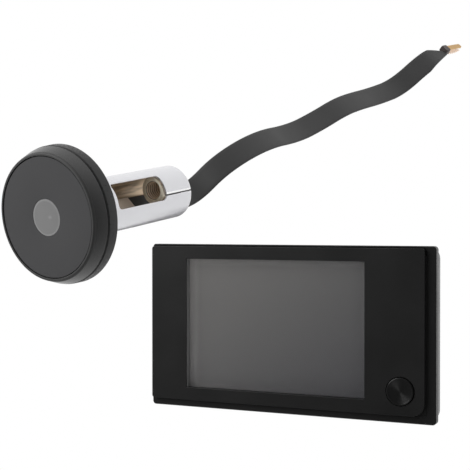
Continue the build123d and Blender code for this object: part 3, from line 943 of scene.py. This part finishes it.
def spunMaterial():
    paint = Paint("spunMetal")
    reach = paint.length(paint.stretched(paint.place(), (1.0, 1.0, 0.0)))
    turns = reach * (2 * math.pi / button["ringPitch"])
    rings = paint.node("ShaderNodeMath", {"operation": "SINE"}, {0: turns})
    outwards = paint.node("ShaderNodeCombineXYZ", sockets={0: reach})
    fine = paint.noise(button["cloud"], vector=outwards)
    return paint.finished({
        "Base Color": paint.varied(fine, button["value"], button["spread"]),
        "Metallic": button["metallic"],
        "Roughness": paint.unevenGloss(fine, button),
        "Anisotropic": button["anisotropy"],
        "Anisotropic Rotation": button["wedgeTurn"],
        "Normal": paint.bump(rings * 0.5 + fine, button["ringGrain"], button["ringDepth"]),
    })


def makeButton():
    low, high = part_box("view_button")
    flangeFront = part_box("display_panel")[1].y + button["flangeGap"]
    flangeBack = flangeFront + button["flange"]
    radius = button["radius"]
    rim = radius - button["edge"] - button["rim"]
    dish = low.y + button["dish"]
    points = (
        (0, dish),
        (rim * 0.6, low.y + button["dish"] * 0.7),
        (rim, low.y + button["dish"] * 0.2, button["dishEdge"]),
        (rim + button["rim"] * 0.4, low.y, button["rimEdge"]),
        (radius, low.y, button["edge"]),
        (radius, flangeFront),
        (button["flangeRadius"], flangeFront, button["flangeEdge"]),
        (button["flangeRadius"], flangeBack, button["flangeEdge"]),
        (button["stemRadius"], flangeBack),
        (button["stemRadius"], high.y, button["stemEdge"]),
        (0, high.y),
    )
    # The piece's own Z is its axis, which the turned finish follows
    mesh = turnedMesh("viewButton", points, button["steps"])
    upright = Matrix.Rotation(math.radians(90), 4, "X")
    mesh.transform(upright.inverted())
    piece = putOut("viewButton", mesh, spunMaterial(), "view_button", "view_button")
    centre = Vector(((low.x + high.x) / 2, 0, (low.z + high.z) / 2))
    piece.matrix_world = Matrix.Translation(centre) @ upright


makeButton()
print("monitor made")


# The outdoor unit's rings: a dark joint runs between them

disc = {
    "rimRadius": 15.2 * mm,
    "jointRadius": 16.65 * mm,
    "backRadius": 16.8 * mm,
    "frontDepth": 3.6 * mm,
    "backDepth": 2.9 * mm,
    "rimWidth": 0.6 * mm,
    "rimEdge": 0.4 * mm,
    "innerEdge": 0.08 * mm,
    "backEdge": 0.25 * mm,
    "pocket": 1.15 * mm,
    "floor": 1.2 * mm,
    "wall": 1.9 * mm,
    "jointEdge": 0.3 * mm,
    "lensBore": 4.0 * mm,
    "barrelHole": 7.1 * mm,
    "steps": 256,
}

# The grain is the share by which a ring's colour and gloss vary from speck to speck
ringLook = {
    "front": {"value": 0.009, "rough": 0.25, "gloss": 1.0, "grain": 0.05},
    "back": {"value": 0.016, "rough": 0.42, "gloss": 0.34, "grain": 0.7},
    "specks": 1900.0,
    "speckDepth": 0.012 * mm,
    "rimMatt": 0.45,
    "rimFade": 0.3 * mm,
}


def ringMaterial(name, look):
    paint = Paint(name, seated=True)
    specks = paint.noise(ringLook["specks"], 1.0)
    rough = look["rough"]
    grain = look["grain"]
    gloss = paint.uneven(specks, rough * (1 - grain / 2), rough * (1 + grain / 2))
    # The front ring's rim is matt
    depth = paint.along(paint.place(), "Y")
    rim = 1 - paint.clamped(depth, disc["rimEdge"], disc["rimEdge"] + ringLook["rimFade"])
    return paint.finished({
        "Base Color": paint.varied(specks, look["value"], grain),
        "Roughness": gloss + rim * ringLook["rimMatt"],
        "Specular IOR Level": look["gloss"],
        "Normal": paint.bump(specks, grain, ringLook["speckDepth"]),
    })


def putTurned(name, node, points, material, steps):
    putOut(name, turnedMesh(name, points, steps), material, "root", node, seated=True)


def makeRings():
    rim = disc["rimRadius"]
    joint = disc["jointRadius"]
    depth = disc["frontDepth"]
    edge = disc["jointEdge"]
    small = disc["innerEdge"]
    inner = rim - disc["rimWidth"]
    floorBack = disc["pocket"] + disc["floor"]
    front = (
        (disc["lensBore"], disc["pocket"]),
        (inner, disc["pocket"]),
        (inner, 0.0, small),
        (rim, 0.0, disc["rimEdge"]),
        (joint - edge / 2, depth - edge, small),
        (joint - edge, depth),
        (joint - disc["wall"], depth),
        (joint - disc["wall"], floorBack),
        (disc["lensBore"], floorBack),
    )
    material = ringMaterial("frontRingBlack", ringLook["front"])
    putTurned("frontRing", "front_ring", front, material, disc["steps"])
    end = depth + disc["backDepth"]
    back = (
        (disc["barrelHole"], end - disc["floor"]),
        (joint - disc["wall"], end - disc["floor"]),
        (joint - disc["wall"], depth),
        (joint - edge, depth),
        (joint, depth + edge, small),
        (disc["backRadius"], end, disc["backEdge"]),
        (disc["barrelHole"], end),
    )
    material = ringMaterial("backRingBlack", ringLook["back"])
    putTurned("backRing", "back_ring", back, material, disc["steps"])


makeRings()


# The matt face with its smoked lens window, in the front ring's pocket

plate = {
    "radius": 14.4 * mm,
    "thick": 1.0 * mm,
    "gap": 0.05 * mm,
    "innerEdge": 0.06 * mm,
    "outerEdge": 0.12 * mm,
    "steps": 256,
    "colour": (0.05, 0.05, 0.0515),
    "cloud": 2500.0,
    "spread": 0.06,
    "rough": 0.62,
    "roughSpread": 0.08,
    "gloss": 0.2,
    "grain": 0.1,
    "grainDepth": 0.02 * mm,
}

lens = {
    "radius": 4.4 * mm,
    "thick": 0.95 * mm,
    "dome": 0.12 * mm,
    "crown": 0.5 * mm,
    "edge": 0.05 * mm,
    "steps": 128,
    "value": 0.165,
    "litValue": 0.26,
    "ringInner": 0.55 * mm,
    "ringOuter": 0.35 * mm,
    "ringShare": 0.4,
    "highlightPlace": (1.3 * mm, 0.0, 0.1 * mm),
    "highlightSquash": (1.0, 0.0, 1.4),
    "highlightReach": 0.9 * mm,
    "cloud": 1200.0,
    "rough": 0.3,
    "roughSpread": 0.06,
    "gloss": 0.3,
}


def makeFacePlate():
    back = disc["pocket"]
    front = back - plate["thick"]
    inner = lens["radius"] + plate["gap"]
    points = (
        (inner, front, plate["innerEdge"]),
        (plate["radius"], front, plate["outerEdge"]),
        (plate["radius"], back),
        (inner, back),
    )
    paint = Paint("mattFace", seated=True)
    fine = paint.noise(plate["cloud"], 3.0)
    material = paint.finished({
        "Base Color": paint.varied(fine, plate["colour"], plate["spread"]),
        "Roughness": paint.unevenGloss(fine, plate),
        "Specular IOR Level": plate["gloss"],
        "Normal": paint.bump(fine, plate["grain"], plate["grainDepth"]),
    })
    putTurned("facePlate", "faceplate", points, material, plate["steps"])


def lensMaterial():
    # A pale ring near its edge and a soft spot are painted highlights, standing for what shimmers behind it
    paint = Paint("smokedWindow", seated=True)
    radius = lens["radius"]
    ring = paint.clamped(paint.aside(), radius - lens["ringInner"], radius - lens["ringOuter"])
    fromHighlight = paint.stretched(paint.shifted(paint.place(), lens["highlightPlace"]), lens["highlightSquash"])
    spot = 1 - paint.clamped(paint.length(fromHighlight), 0.0, lens["highlightReach"])
    paintedLight = ring * lens["ringShare"] + spot * (1 - lens["ringShare"])
    return paint.finished({
        "Base Color": paint.mixed(paintedLight, shade(lens["value"]), shade(lens["litValue"])),
        "Roughness": paint.unevenGloss(paint.noise(lens["cloud"]), lens),
        "Specular IOR Level": lens["gloss"],
    })


def makeLensWindow():
    back = disc["pocket"]
    front = back - lens["thick"]
    radius = lens["radius"]
    dome = lens["dome"]
    points = (
        (0, front - dome),
        (radius * 0.5, front - dome * 0.75),
        (radius * 0.9, front - dome * 0.2, lens["crown"]),
        (radius, front, lens["edge"]),
        (radius, back),
        (0, back),
    )
    putTurned("lensWindow", "lens_window", points, lensMaterial(), lens["steps"])


makeFacePlate()
makeLensWindow()


# The barrel: a plated shell with a milled side window, and a slit that runs on to its rear end

barrel = {
    "radius": 7.0 * mm,
    "bore": 6.2 * mm,
    "front": 4.3 * mm,
    "end": 46.5 * mm,
    "collarRadius": 9.0 * mm,
    "collar": 1.0 * mm,
    "windowStart": 18.0 * mm,
    "windowLength": 18.2 * mm,
    "windowWidth": 6.9 * mm,
    "windowCorner": 1.2 * mm,
    "windowAngle": 22.0,
    "slitAngle": 2.3,
    "slitWidth": 0.36 * mm,
    "windowEdge": 0.2 * mm,
    "endEdge": 0.25 * mm,
    "slitUpperEdge": 0.12 * mm,
    "slitLowerEdge": 0.1 * mm,
    "boreEdge": 0.08 * mm,
    "cornerSteps": 8,
    "endSteps": 60,
    "slitSteps": 10,
    "sideSteps": (16, 12, 16, 12),
    "edgeSteps": 4,
    "gridAngle": 3.0,
    "gridStep": 1.0 * mm,
    "weld": 0.0005 * mm,
}

chrome = {
    "colour": (0.76, 0.76, 0.785),
    "cloud": 120.0,
    "darker": 0.97,
    "metallic": 0.8,
    "rough": 0.24,
    "endHighlightValue": 0.97,
    "endHighlightWidth": 0.45 * mm,
    "endHighlightFade": 0.15 * mm,
    "slitHighlightValue": 1.0,
    "slitWidth": 0.42 * mm,
    "slitFade": 0.1 * mm,
    "inside": (0.6, 0.46, 0.32),
    "insideCloud": 700.0,
    "insideStretch": (1.0, 0.12, 1.0),
    "insideDark": 0.45,
    "insideLight": 1.3,
    "insideMetallic": 0.4,
    "insideRough": 0.3,
    "insideStart": 0.1 * mm,
    "insideFade": 0.2 * mm,
}


def barrelEdgePath(radius):
    # The shell's open edge on a cylinder of this radius, as (angle, depth, edge rounding): half the
    # rear end, the slit's lower side, round the window, the slit's upper side, the other half
    slit = math.radians(barrel["slitAngle"])
    gap = barrel["slitWidth"] / 2 / radius
    middle = math.radians(barrel["windowAngle"])
    corner = barrel["windowCorner"]
    reach = barrel["windowWidth"] / 2 - corner
    near = barrel["windowStart"]
    far = near + barrel["windowLength"]
    end = barrel["end"]
    edge = barrel["windowEdge"]
    path = []

    def stretch(start, finish, count, rounding):
        for step in range(count):
            share = step / count
            angle = start[0] + (finish[0] - start[0]) * share
            path.append((angle, start[1] + (finish[1] - start[1]) * share, rounding))

    # The slit's lower side may meet the window in its rounded corner
    meeting = (radius * math.sin(slit - gap - middle) + reach) / corner
    first = math.degrees(math.acos(min(0.0, meeting)))
    arcs = []
    for side, depth, start, finish in (
        (-reach, far - corner, first, 180),
        (-reach, near + corner, 180, 270),
        (reach, near + corner, 270, 360),
        (reach, far - corner, 0, 90),
    ):
        arc = []
        for step in range(barrel["cornerSteps"] + 1):
            bend = math.radians(start + (finish - start) * step / barrel["cornerSteps"])
            angle = middle + math.asin((side + corner * math.cos(bend)) / radius)
            arc.append((angle, depth + corner * math.sin(bend)))
        arcs.append(arc)
    stretch((slit - math.pi, end), (slit - gap, end), barrel["endSteps"], barrel["endEdge"])
    stretch((slit - gap, end), arcs[0][0], barrel["slitSteps"], barrel["slitLowerEdge"])
    follows = [arc[0] for arc in arcs[1:]] + [(slit + gap, far)]
    for arc, follow, count in zip(arcs, follows, barrel["sideSteps"]):
        path += [(angle, depth, edge) for angle, depth in arc[:-1]]
        stretch(arc[-1], follow, count, edge)
    stretch((slit + gap, far), (slit + gap, end), barrel["slitSteps"], barrel["slitUpperEdge"])
    stretch((slit + gap, end), (slit + math.pi, end), barrel["endSteps"], barrel["endEdge"])
    path.append((slit + math.pi, end, barrel["endEdge"]))
    return path


def edgeWays(path, radius):
    # For each point the way into the metal, in (arc, depth), so long that offsets keep their width
    flat = [Vector((angle * radius, depth)) for angle, depth, rounding in path]
    ways = []
    for index in range(len(flat)):
        sides = []
        for first, second in ((index - 1, index), (index, index + 1)):
            if 0 <= first and second < len(flat):
                step = (flat[second] - flat[first]).normalized()
                sides.append(Vector((step.y, -step.x)))
        total = sides[0] + sides[-1]
        ways.append(total / (1 + sides[0].dot(sides[-1])))
    return flat, ways


class Shell:
    # Collects a mesh with a known normal at each of its points
    def __init__(self):
        self.places = []
        self.normals = []
        self.faces = []
        self.known = {}

    def add(self, place, normal):
        key = tuple(round(part / barrel["weld"]) for part in place)
        if key not in self.known:
            self.known[key] = len(self.places)
            self.places.append(place)
            self.normals.append(normal.normalized())
        return self.known[key]

    def join(self, rows, around=False):
        self.faces += facesBetween(rows, around)

    def mesh(self, name, seat):
        mesh = bpy.data.meshes.new(name)
        turn = seat.to_3x3()
        mesh.from_pydata([seat @ place for place in self.places], [], self.faces)
        work = bmesh.new()
        work.from_mesh(mesh)
        bmesh.ops.recalc_face_normals(work, faces=work.faces)
        work.to_mesh(mesh)
        work.free()
        mesh.shade_smooth()
        mesh.normals_split_custom_set_from_vertices([turn @ normal for normal in self.normals])
        return mesh


def onCylinder(angle, depth, radius):
    return Vector((radius * math.cos(angle), depth, radius * math.sin(angle)))


def barrelSide(shell, radius, front, edges, outwards):
    # One face of the shell and the rounding of its open edge; returns the rounding's last row and
    # the ring at the shell's front
    flat, ways = edgeWays(barrelEdgePath(radius), radius)
    steps = barrel["edgeSteps"]
    rows = []
    for level in range(steps + 1):
        bend = math.pi / 2 * level / steps
        row = []
        for point, way, rounding in zip(flat, ways, edges):
            spot = point + way * (rounding * (1 - math.sin(bend)))
            angle = spot.x / radius
            sunk = rounding * (1 - math.cos(bend))
            radial = onCylinder(angle, 0, outwards)
            unit = way.normalized()
            opening = Vector((math.sin(angle) * unit.x, -unit.y, -math.cos(angle) * unit.x))
            place = onCylinder(angle, spot.y, radius - outwards * sunk)
            row.append(shell.add(place, radial * math.cos(bend) + opening * math.sin(bend)))
        row[-1] = row[0]
        rows.append(row)
    shell.join(rows)
    border = [point + way * rounding for point, way, rounding in zip(flat, ways, edges)]
    return rows[-1], fillSide(shell, border, radius, front, outwards)


def fillSide(shell, border, radius, front, outwards):
    # The rest of the cylinder, laid flat: a grid of points, with the open edge as its border
    left = border[0].x
    right = border[-1].x
    count = round(2 * math.pi / math.radians(barrel["gridAngle"]))
    columns = [left + (right - left) * index / count for index in range(count)]
    rise = math.ceil((border[0].y - front) / barrel["gridStep"])
    levels = [front + (border[0].y - front) * index / rise for index in range(rise)]
    outline = list(border)
    outline += [Vector((right, level)) for level in reversed(levels)]
    outline += [Vector((column, front)) for column in reversed(columns[1:])]
    outline += [Vector((left, level)) for level in levels]
    grid = [Vector((column, level)) for column in columns[1:] for level in levels[1:]]
    spots = outline + grid
    flat = [spot / mm for spot in spots]
    found = geometry.delaunay_2d_cdt(flat, [], [range(len(outline))], 1, 1e-5)

    def point(spot):
        angle = (left if spot.x == right else spot.x) / radius
        return shell.add(onCylinder(angle, spot.y, radius), onCylinder(angle, 0, outwards))

    sources = [spots[min(indices)] for indices in found[3]]
    for corners in found[2]:
        shell.faces.append([point(sources[corner]) for corner in corners])
    return [point(Vector((column, front))) for column in columns]


def slitHighlight(paint, depth):
    # A painted highlight where the upper side of the slit shows, beyond the window
    height = paint.along(paint.place(), "Z")
    low = barrel["radius"] * math.sin(math.radians(barrel["slitAngle"])) + barrel["slitWidth"] / 2
    high = low + chrome["slitWidth"]
    far = barrel["windowStart"] + barrel["windowLength"]
    fade = chrome["slitFade"]
    paintedShine = paint.clamped(height, high, high + fade, 1.0, 0.0) * paint.clamped(height, low - fade, low)
    paintedShine = paintedShine * paint.clamped(paint.along(paint.place(), "X"), 0.0, barrel["bore"])
    return paintedShine * paint.clamped(depth, far, far + 2 * fade)


def barrelMaterial():
    paint = Paint("chromePlate", seated=True)
    colour = chrome["colour"]
    cloud = paint.noise(chrome["cloud"])
    outside = paint.mixed(cloud, shade(colour, chrome["darker"]), shade(colour))
    # Its rear edge is brighter: a painted highlight
    depth = paint.along(paint.place(), "Y")
    last = barrel["end"] - chrome["endHighlightWidth"]
    endHighlight = paint.clamped(depth, last, last + chrome["endHighlightFade"])
    outside = paint.mixed(endHighlight, outside, shade(chrome["endHighlightValue"]))
    # The slit's painted highlight
    outside = paint.mixed(slitHighlight(paint, depth), outside, shade(chrome["slitHighlightValue"]))
    # The unpolished bore is brown, with painted reflections streaked along the barrel
    where = paint.stretched(paint.place(), chrome["insideStretch"])
    reflectionStreaks = paint.noise(chrome["insideCloud"], 3.0, where)
    dark = shade(chrome["inside"], chrome["insideDark"])
    light = shade(chrome["inside"], chrome["insideLight"])
    inside = paint.mixed(paint.clamped(reflectionStreaks, 0.35, 0.65), dark, light)
    reach = barrel["bore"] + chrome["insideStart"]
    inner = 1 - paint.clamped(paint.aside(), reach, reach + chrome["insideFade"])
    metallic = (chrome["metallic"], chrome["insideMetallic"])
    rough = (chrome["rough"], chrome["insideRough"])
    return paint.finished({
        "Base Color": paint.mixed(inner, outside, inside),
        "Metallic": paint.clamped(inner, 0.0, 1.0, *metallic, soft=False),
        "Roughness": paint.clamped(inner, 0.0, 1.0, *rough, soft=False),
    })


def makeBarrel():
    shell = Shell()
    edges = [rounding for angle, depth, rounding in barrelEdgePath(barrel["radius"])]
    boreEdges = [barrel["boreEdge"]] * len(edges)
    front = barrel["front"]
    back = front + barrel["collar"]
    outerEdge, outerFront = barrelSide(shell, barrel["radius"], back, edges, 1)
    innerEdge, innerFront = barrelSide(shell, barrel["bore"], front, boreEdges, -1)
    shell.join([outerEdge, innerEdge])
    rings = [innerFront]
    spread = barrel["collarRadius"] / barrel["radius"]
    for depth in (front, back):
        ring = []
        for index in outerFront:
            place = shell.places[index]
            outwards = place - Vector((0, place.y, 0))
            ring.append(shell.add(Vector((place.x * spread, depth, place.z * spread)), outwards))
        rings.append(ring)
    shell.join(rings + [outerFront], around=True)
    mesh = shell.mesh("slottedBarrel", outdoorSeat())
    putOut("slottedBarrel", mesh, barrelMaterial(), "root", "barrel")


makeBarrel()


# The threaded insert: its face and thread show in the barrel's window

insert = {
    "radius": 3.8 * mm,
    "offset": 3.2 * mm,
    "angle": 30.0,
    "start": 36.0 * mm,
    "length": 7.0 * mm,
    "clip": 6.15 * mm,
    "steps": 144,
    "edge": 0.4 * mm,
    "bore": 2.1 * mm,
    "mouth": 2.45 * mm,
    "mouthRim": 0.25 * mm,
    "mouthProud": 0.05 * mm,
    "edgeSteps": 4,
    "pitch": 0.8 * mm,
    "pitchSteps": 8,
    "threadDepth": 0.33 * mm,
    "sharpAngle": 35.0,
}

brass = {
    "colour": (1.0, 0.88, 0.73),
    "cloud": 500.0,
    "darker": 0.8,
    "lighter": 1.1,
    "litCrest": (0.95, 0.76, 0.56),
    "root": (0.06, 0.035, 0.025),
    # The painted shade on the insert's side
    "side": (0.05, 0.045, 0.04),
    "sideShadeGap": 0.1 * mm,
    "sideShadeFade": 0.4 * mm,
    "mouthFade": (-0.05 * mm, 0.02 * mm),
    "metallic": 0.12,
    "rough": 0.24,
    "roughSpread": 0.1,
}


def insertMaterial(centre):
    paint = Paint("nickelBrass", seated=True)
    rub = paint.noise(brass["cloud"], 3.0)
    reach = paint.aside(centre)
    colour = brass["colour"]
    outside = paint.mixed(rub, shade(colour, brass["darker"]), shade(colour, brass["lighter"]))
    # Its side, which the barrel's slit shows, gets painted shade: dark where the barrel's inside shades it
    mouth = insert["mouth"]
    gap = brass["sideShadeGap"]
    behind = insert["start"] + insert["edge"]
    side = paint.clamped(reach, mouth + gap, mouth + 2 * gap)
    side = side * paint.clamped(paint.along(paint.place(), "Y"), behind, behind + brass["sideShadeFade"])
    outside = paint.mixed(side, outside, shade(brass["side"]))
    # Painted light and shade: the thread is bright on its crests and dark at its root, where shade falls
    rootShade = paint.clamped(reach, insert["bore"], insert["bore"] + insert["threadDepth"])
    thread = paint.mixed(rootShade, shade(brass["litCrest"]), shade(brass["root"]))
    first, last = brass["mouthFade"]
    inside = 1 - paint.clamped(reach, mouth + first, mouth + last)
    return paint.finished({
        "Base Color": paint.mixed(inside, outside, thread),
        "Metallic": brass["metallic"],
        "Roughness": paint.unevenGloss(rub, brass),
    })


def makeInsert():
    way = math.radians(insert["angle"])
    centre = Vector((insert["offset"] * math.cos(way), 0, insert["offset"] * math.sin(way)))
    steps = insert["steps"]
    start = insert["start"]
    end = start + insert["length"]
    turns = []
    for step in range(steps):
        angle = 2 * math.pi * step / steps
        unit = Vector((math.cos(angle), 0, math.sin(angle)))
        inwards = centre.dot(unit)
        clip = math.sqrt(inwards * inwards - centre.length_squared + insert["clip"] ** 2) - inwards
        turns.append((unit, min(insert["radius"], clip), step / steps))
    work = bmesh.new()
    rings = []

    def ring(reach, depth):
        rings.append([
            work.verts.new(centre + unit * reach(outer, share) + Vector((0, depth, 0)))
            for unit, outer, share in turns
        ])

    def edge(outer):
        return min(insert["edge"], (outer - insert["mouth"]) * 0.4)

    ring(lambda outer, share: outer, end)
    ring(lambda outer, share: outer, start + insert["edge"])
    for step in range(1, insert["edgeSteps"] + 1):
        bend = math.pi / 2 * step / insert["edgeSteps"]
        rise = insert["edge"] * (1 - math.sin(bend))
        ring(lambda outer, share: outer - edge(outer) * (1 - math.cos(bend)), start + rise)
    mouth = insert["mouth"]
    rim = insert["mouthRim"]
    ring(lambda outer, share: mouth + min(rim, edge(outer)), start)
    ring(lambda outer, share: mouth + min(rim, edge(outer)) * 0.7, start - insert["mouthProud"])
    ring(lambda outer, share: mouth, start)
    pitch = insert["pitch"]
    threadStart = start + mouth - insert["bore"]
    count = int((end - threadStart) / pitch * insert["pitchSteps"])
    for step in range(count + 1):
        depth = threadStart + (end - threadStart) * step / count

        def thread(outer, share):
            phase = ((depth - threadStart) / pitch - share) % 1
            return insert["bore"] + insert["threadDepth"] * abs(2 * phase - 1)

        ring(thread, depth)
    joinRings(work, rings, closed=True)
    mesh = finishMesh("threadedInsert", work, insert["sharpAngle"])
    putOut("threadedInsert", mesh, insertMaterial(centre), "root", "threaded_insert", seated=True)


makeInsert()
print("outdoor unit made")


# Inner pieces and the door side: softened copies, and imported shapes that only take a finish

softenedPieces = {
    "wall_bracket": ("wallBracket", "root", 0.12 * mm),
    "case_screws": ("caseScrews", "monitor", 0.08 * mm),
    "head_screws": ("headScrews", "root", 0.06 * mm),
    "aaa_cells": ("cells", "monitor", 0.25 * mm),
}

innerFinishes = {
    "wall_bracket": (metalMaterial, "zincSteel", (0.62, 0.63, 0.65), 0.34, 0.1),
    "case_screws": (metalMaterial, "blackScrew", (0.12, 0.12, 0.12), 0.35),
    "head_screws": (metalMaterial, "zincScrew", (0.6, 0.6, 0.6), 0.3),
    "aaa_cells": (plainMaterial, "cellSleeve", (0.05, 0.07, 0.12), 0.3),
    # The gasket's pale grey is painted light: its edge lightens the window's left wall
    "lcd_gasket": (plainMaterial, "gasketFoam", (0.2, 0.2, 0.2), 0.8),
    "lcd_backlight": (metalMaterial, "traySteel", (0.55, 0.55, 0.55), 0.35),
    "lcd_flex": (plainMaterial, "amberFilm", (0.5, 0.24, 0.05), 0.3),
    "ribbon_inside": (filmMaterial, "innerFilm", (0.8136, 0.72, 0.6264), 0.22),
    "door_gasket": (plainMaterial, "foamRing", (0.02, 0.02, 0.02), 0.85),
    "battery_contacts": (metalMaterial, "contactNickel", (0.7, 0.69, 0.66), 0.28),
    "battery_springs": (metalMaterial, "springNickel", (0.7, 0.69, 0.66), 0.25),
    "main_board": (plainMaterial, "boardGreen", (0.015, 0.11, 0.045), 0.35),
    "board_screws": (metalMaterial, "boardScrewZinc", (0.6, 0.6, 0.6), 0.3),
    "board_chips": (plainMaterial, "chipBlack", (0.02, 0.02, 0.02), 0.5),
    "ribbon_socket": (plainMaterial, "socketCream", (0.72, 0.7, 0.6), 0.5),
    "tact_switch": (plainMaterial, "switchBlack", (0.02, 0.02, 0.02), 0.5),
    "switch_plunger": (plainMaterial, "plungerRed", (0.45, 0.06, 0.04), 0.45),
    "lens_barrel": (metalMaterial, "lensBlack", (0.04, 0.04, 0.04), 0.4),
    "lens_elements": (plainMaterial, "coatedGlass", (0.1, 0.12, 0.2), 0.1),
    "sensor_holder": (plainMaterial, "holderBlack", (0.02, 0.02, 0.02), 0.55),
    "image_sensor": (plainMaterial, "sensorGlass", (0.05, 0.07, 0.1), 0.15),
    "camera_board": (plainMaterial, "cameraBoardGreen", (0.015, 0.11, 0.045), 0.35),
    "camera_socket": (plainMaterial, "cameraSocketCream", (0.72, 0.7, 0.6), 0.5),
}

for node, (makeMaterial, *look) in innerFinishes.items():
    if node in softenedPieces:
        name, body, edge = softenedPieces[node]
        softened(name, node, body, makeMaterial(*look), edge)
    else:
        repaint(node, makeMaterial(*look))
print("inner pieces made")
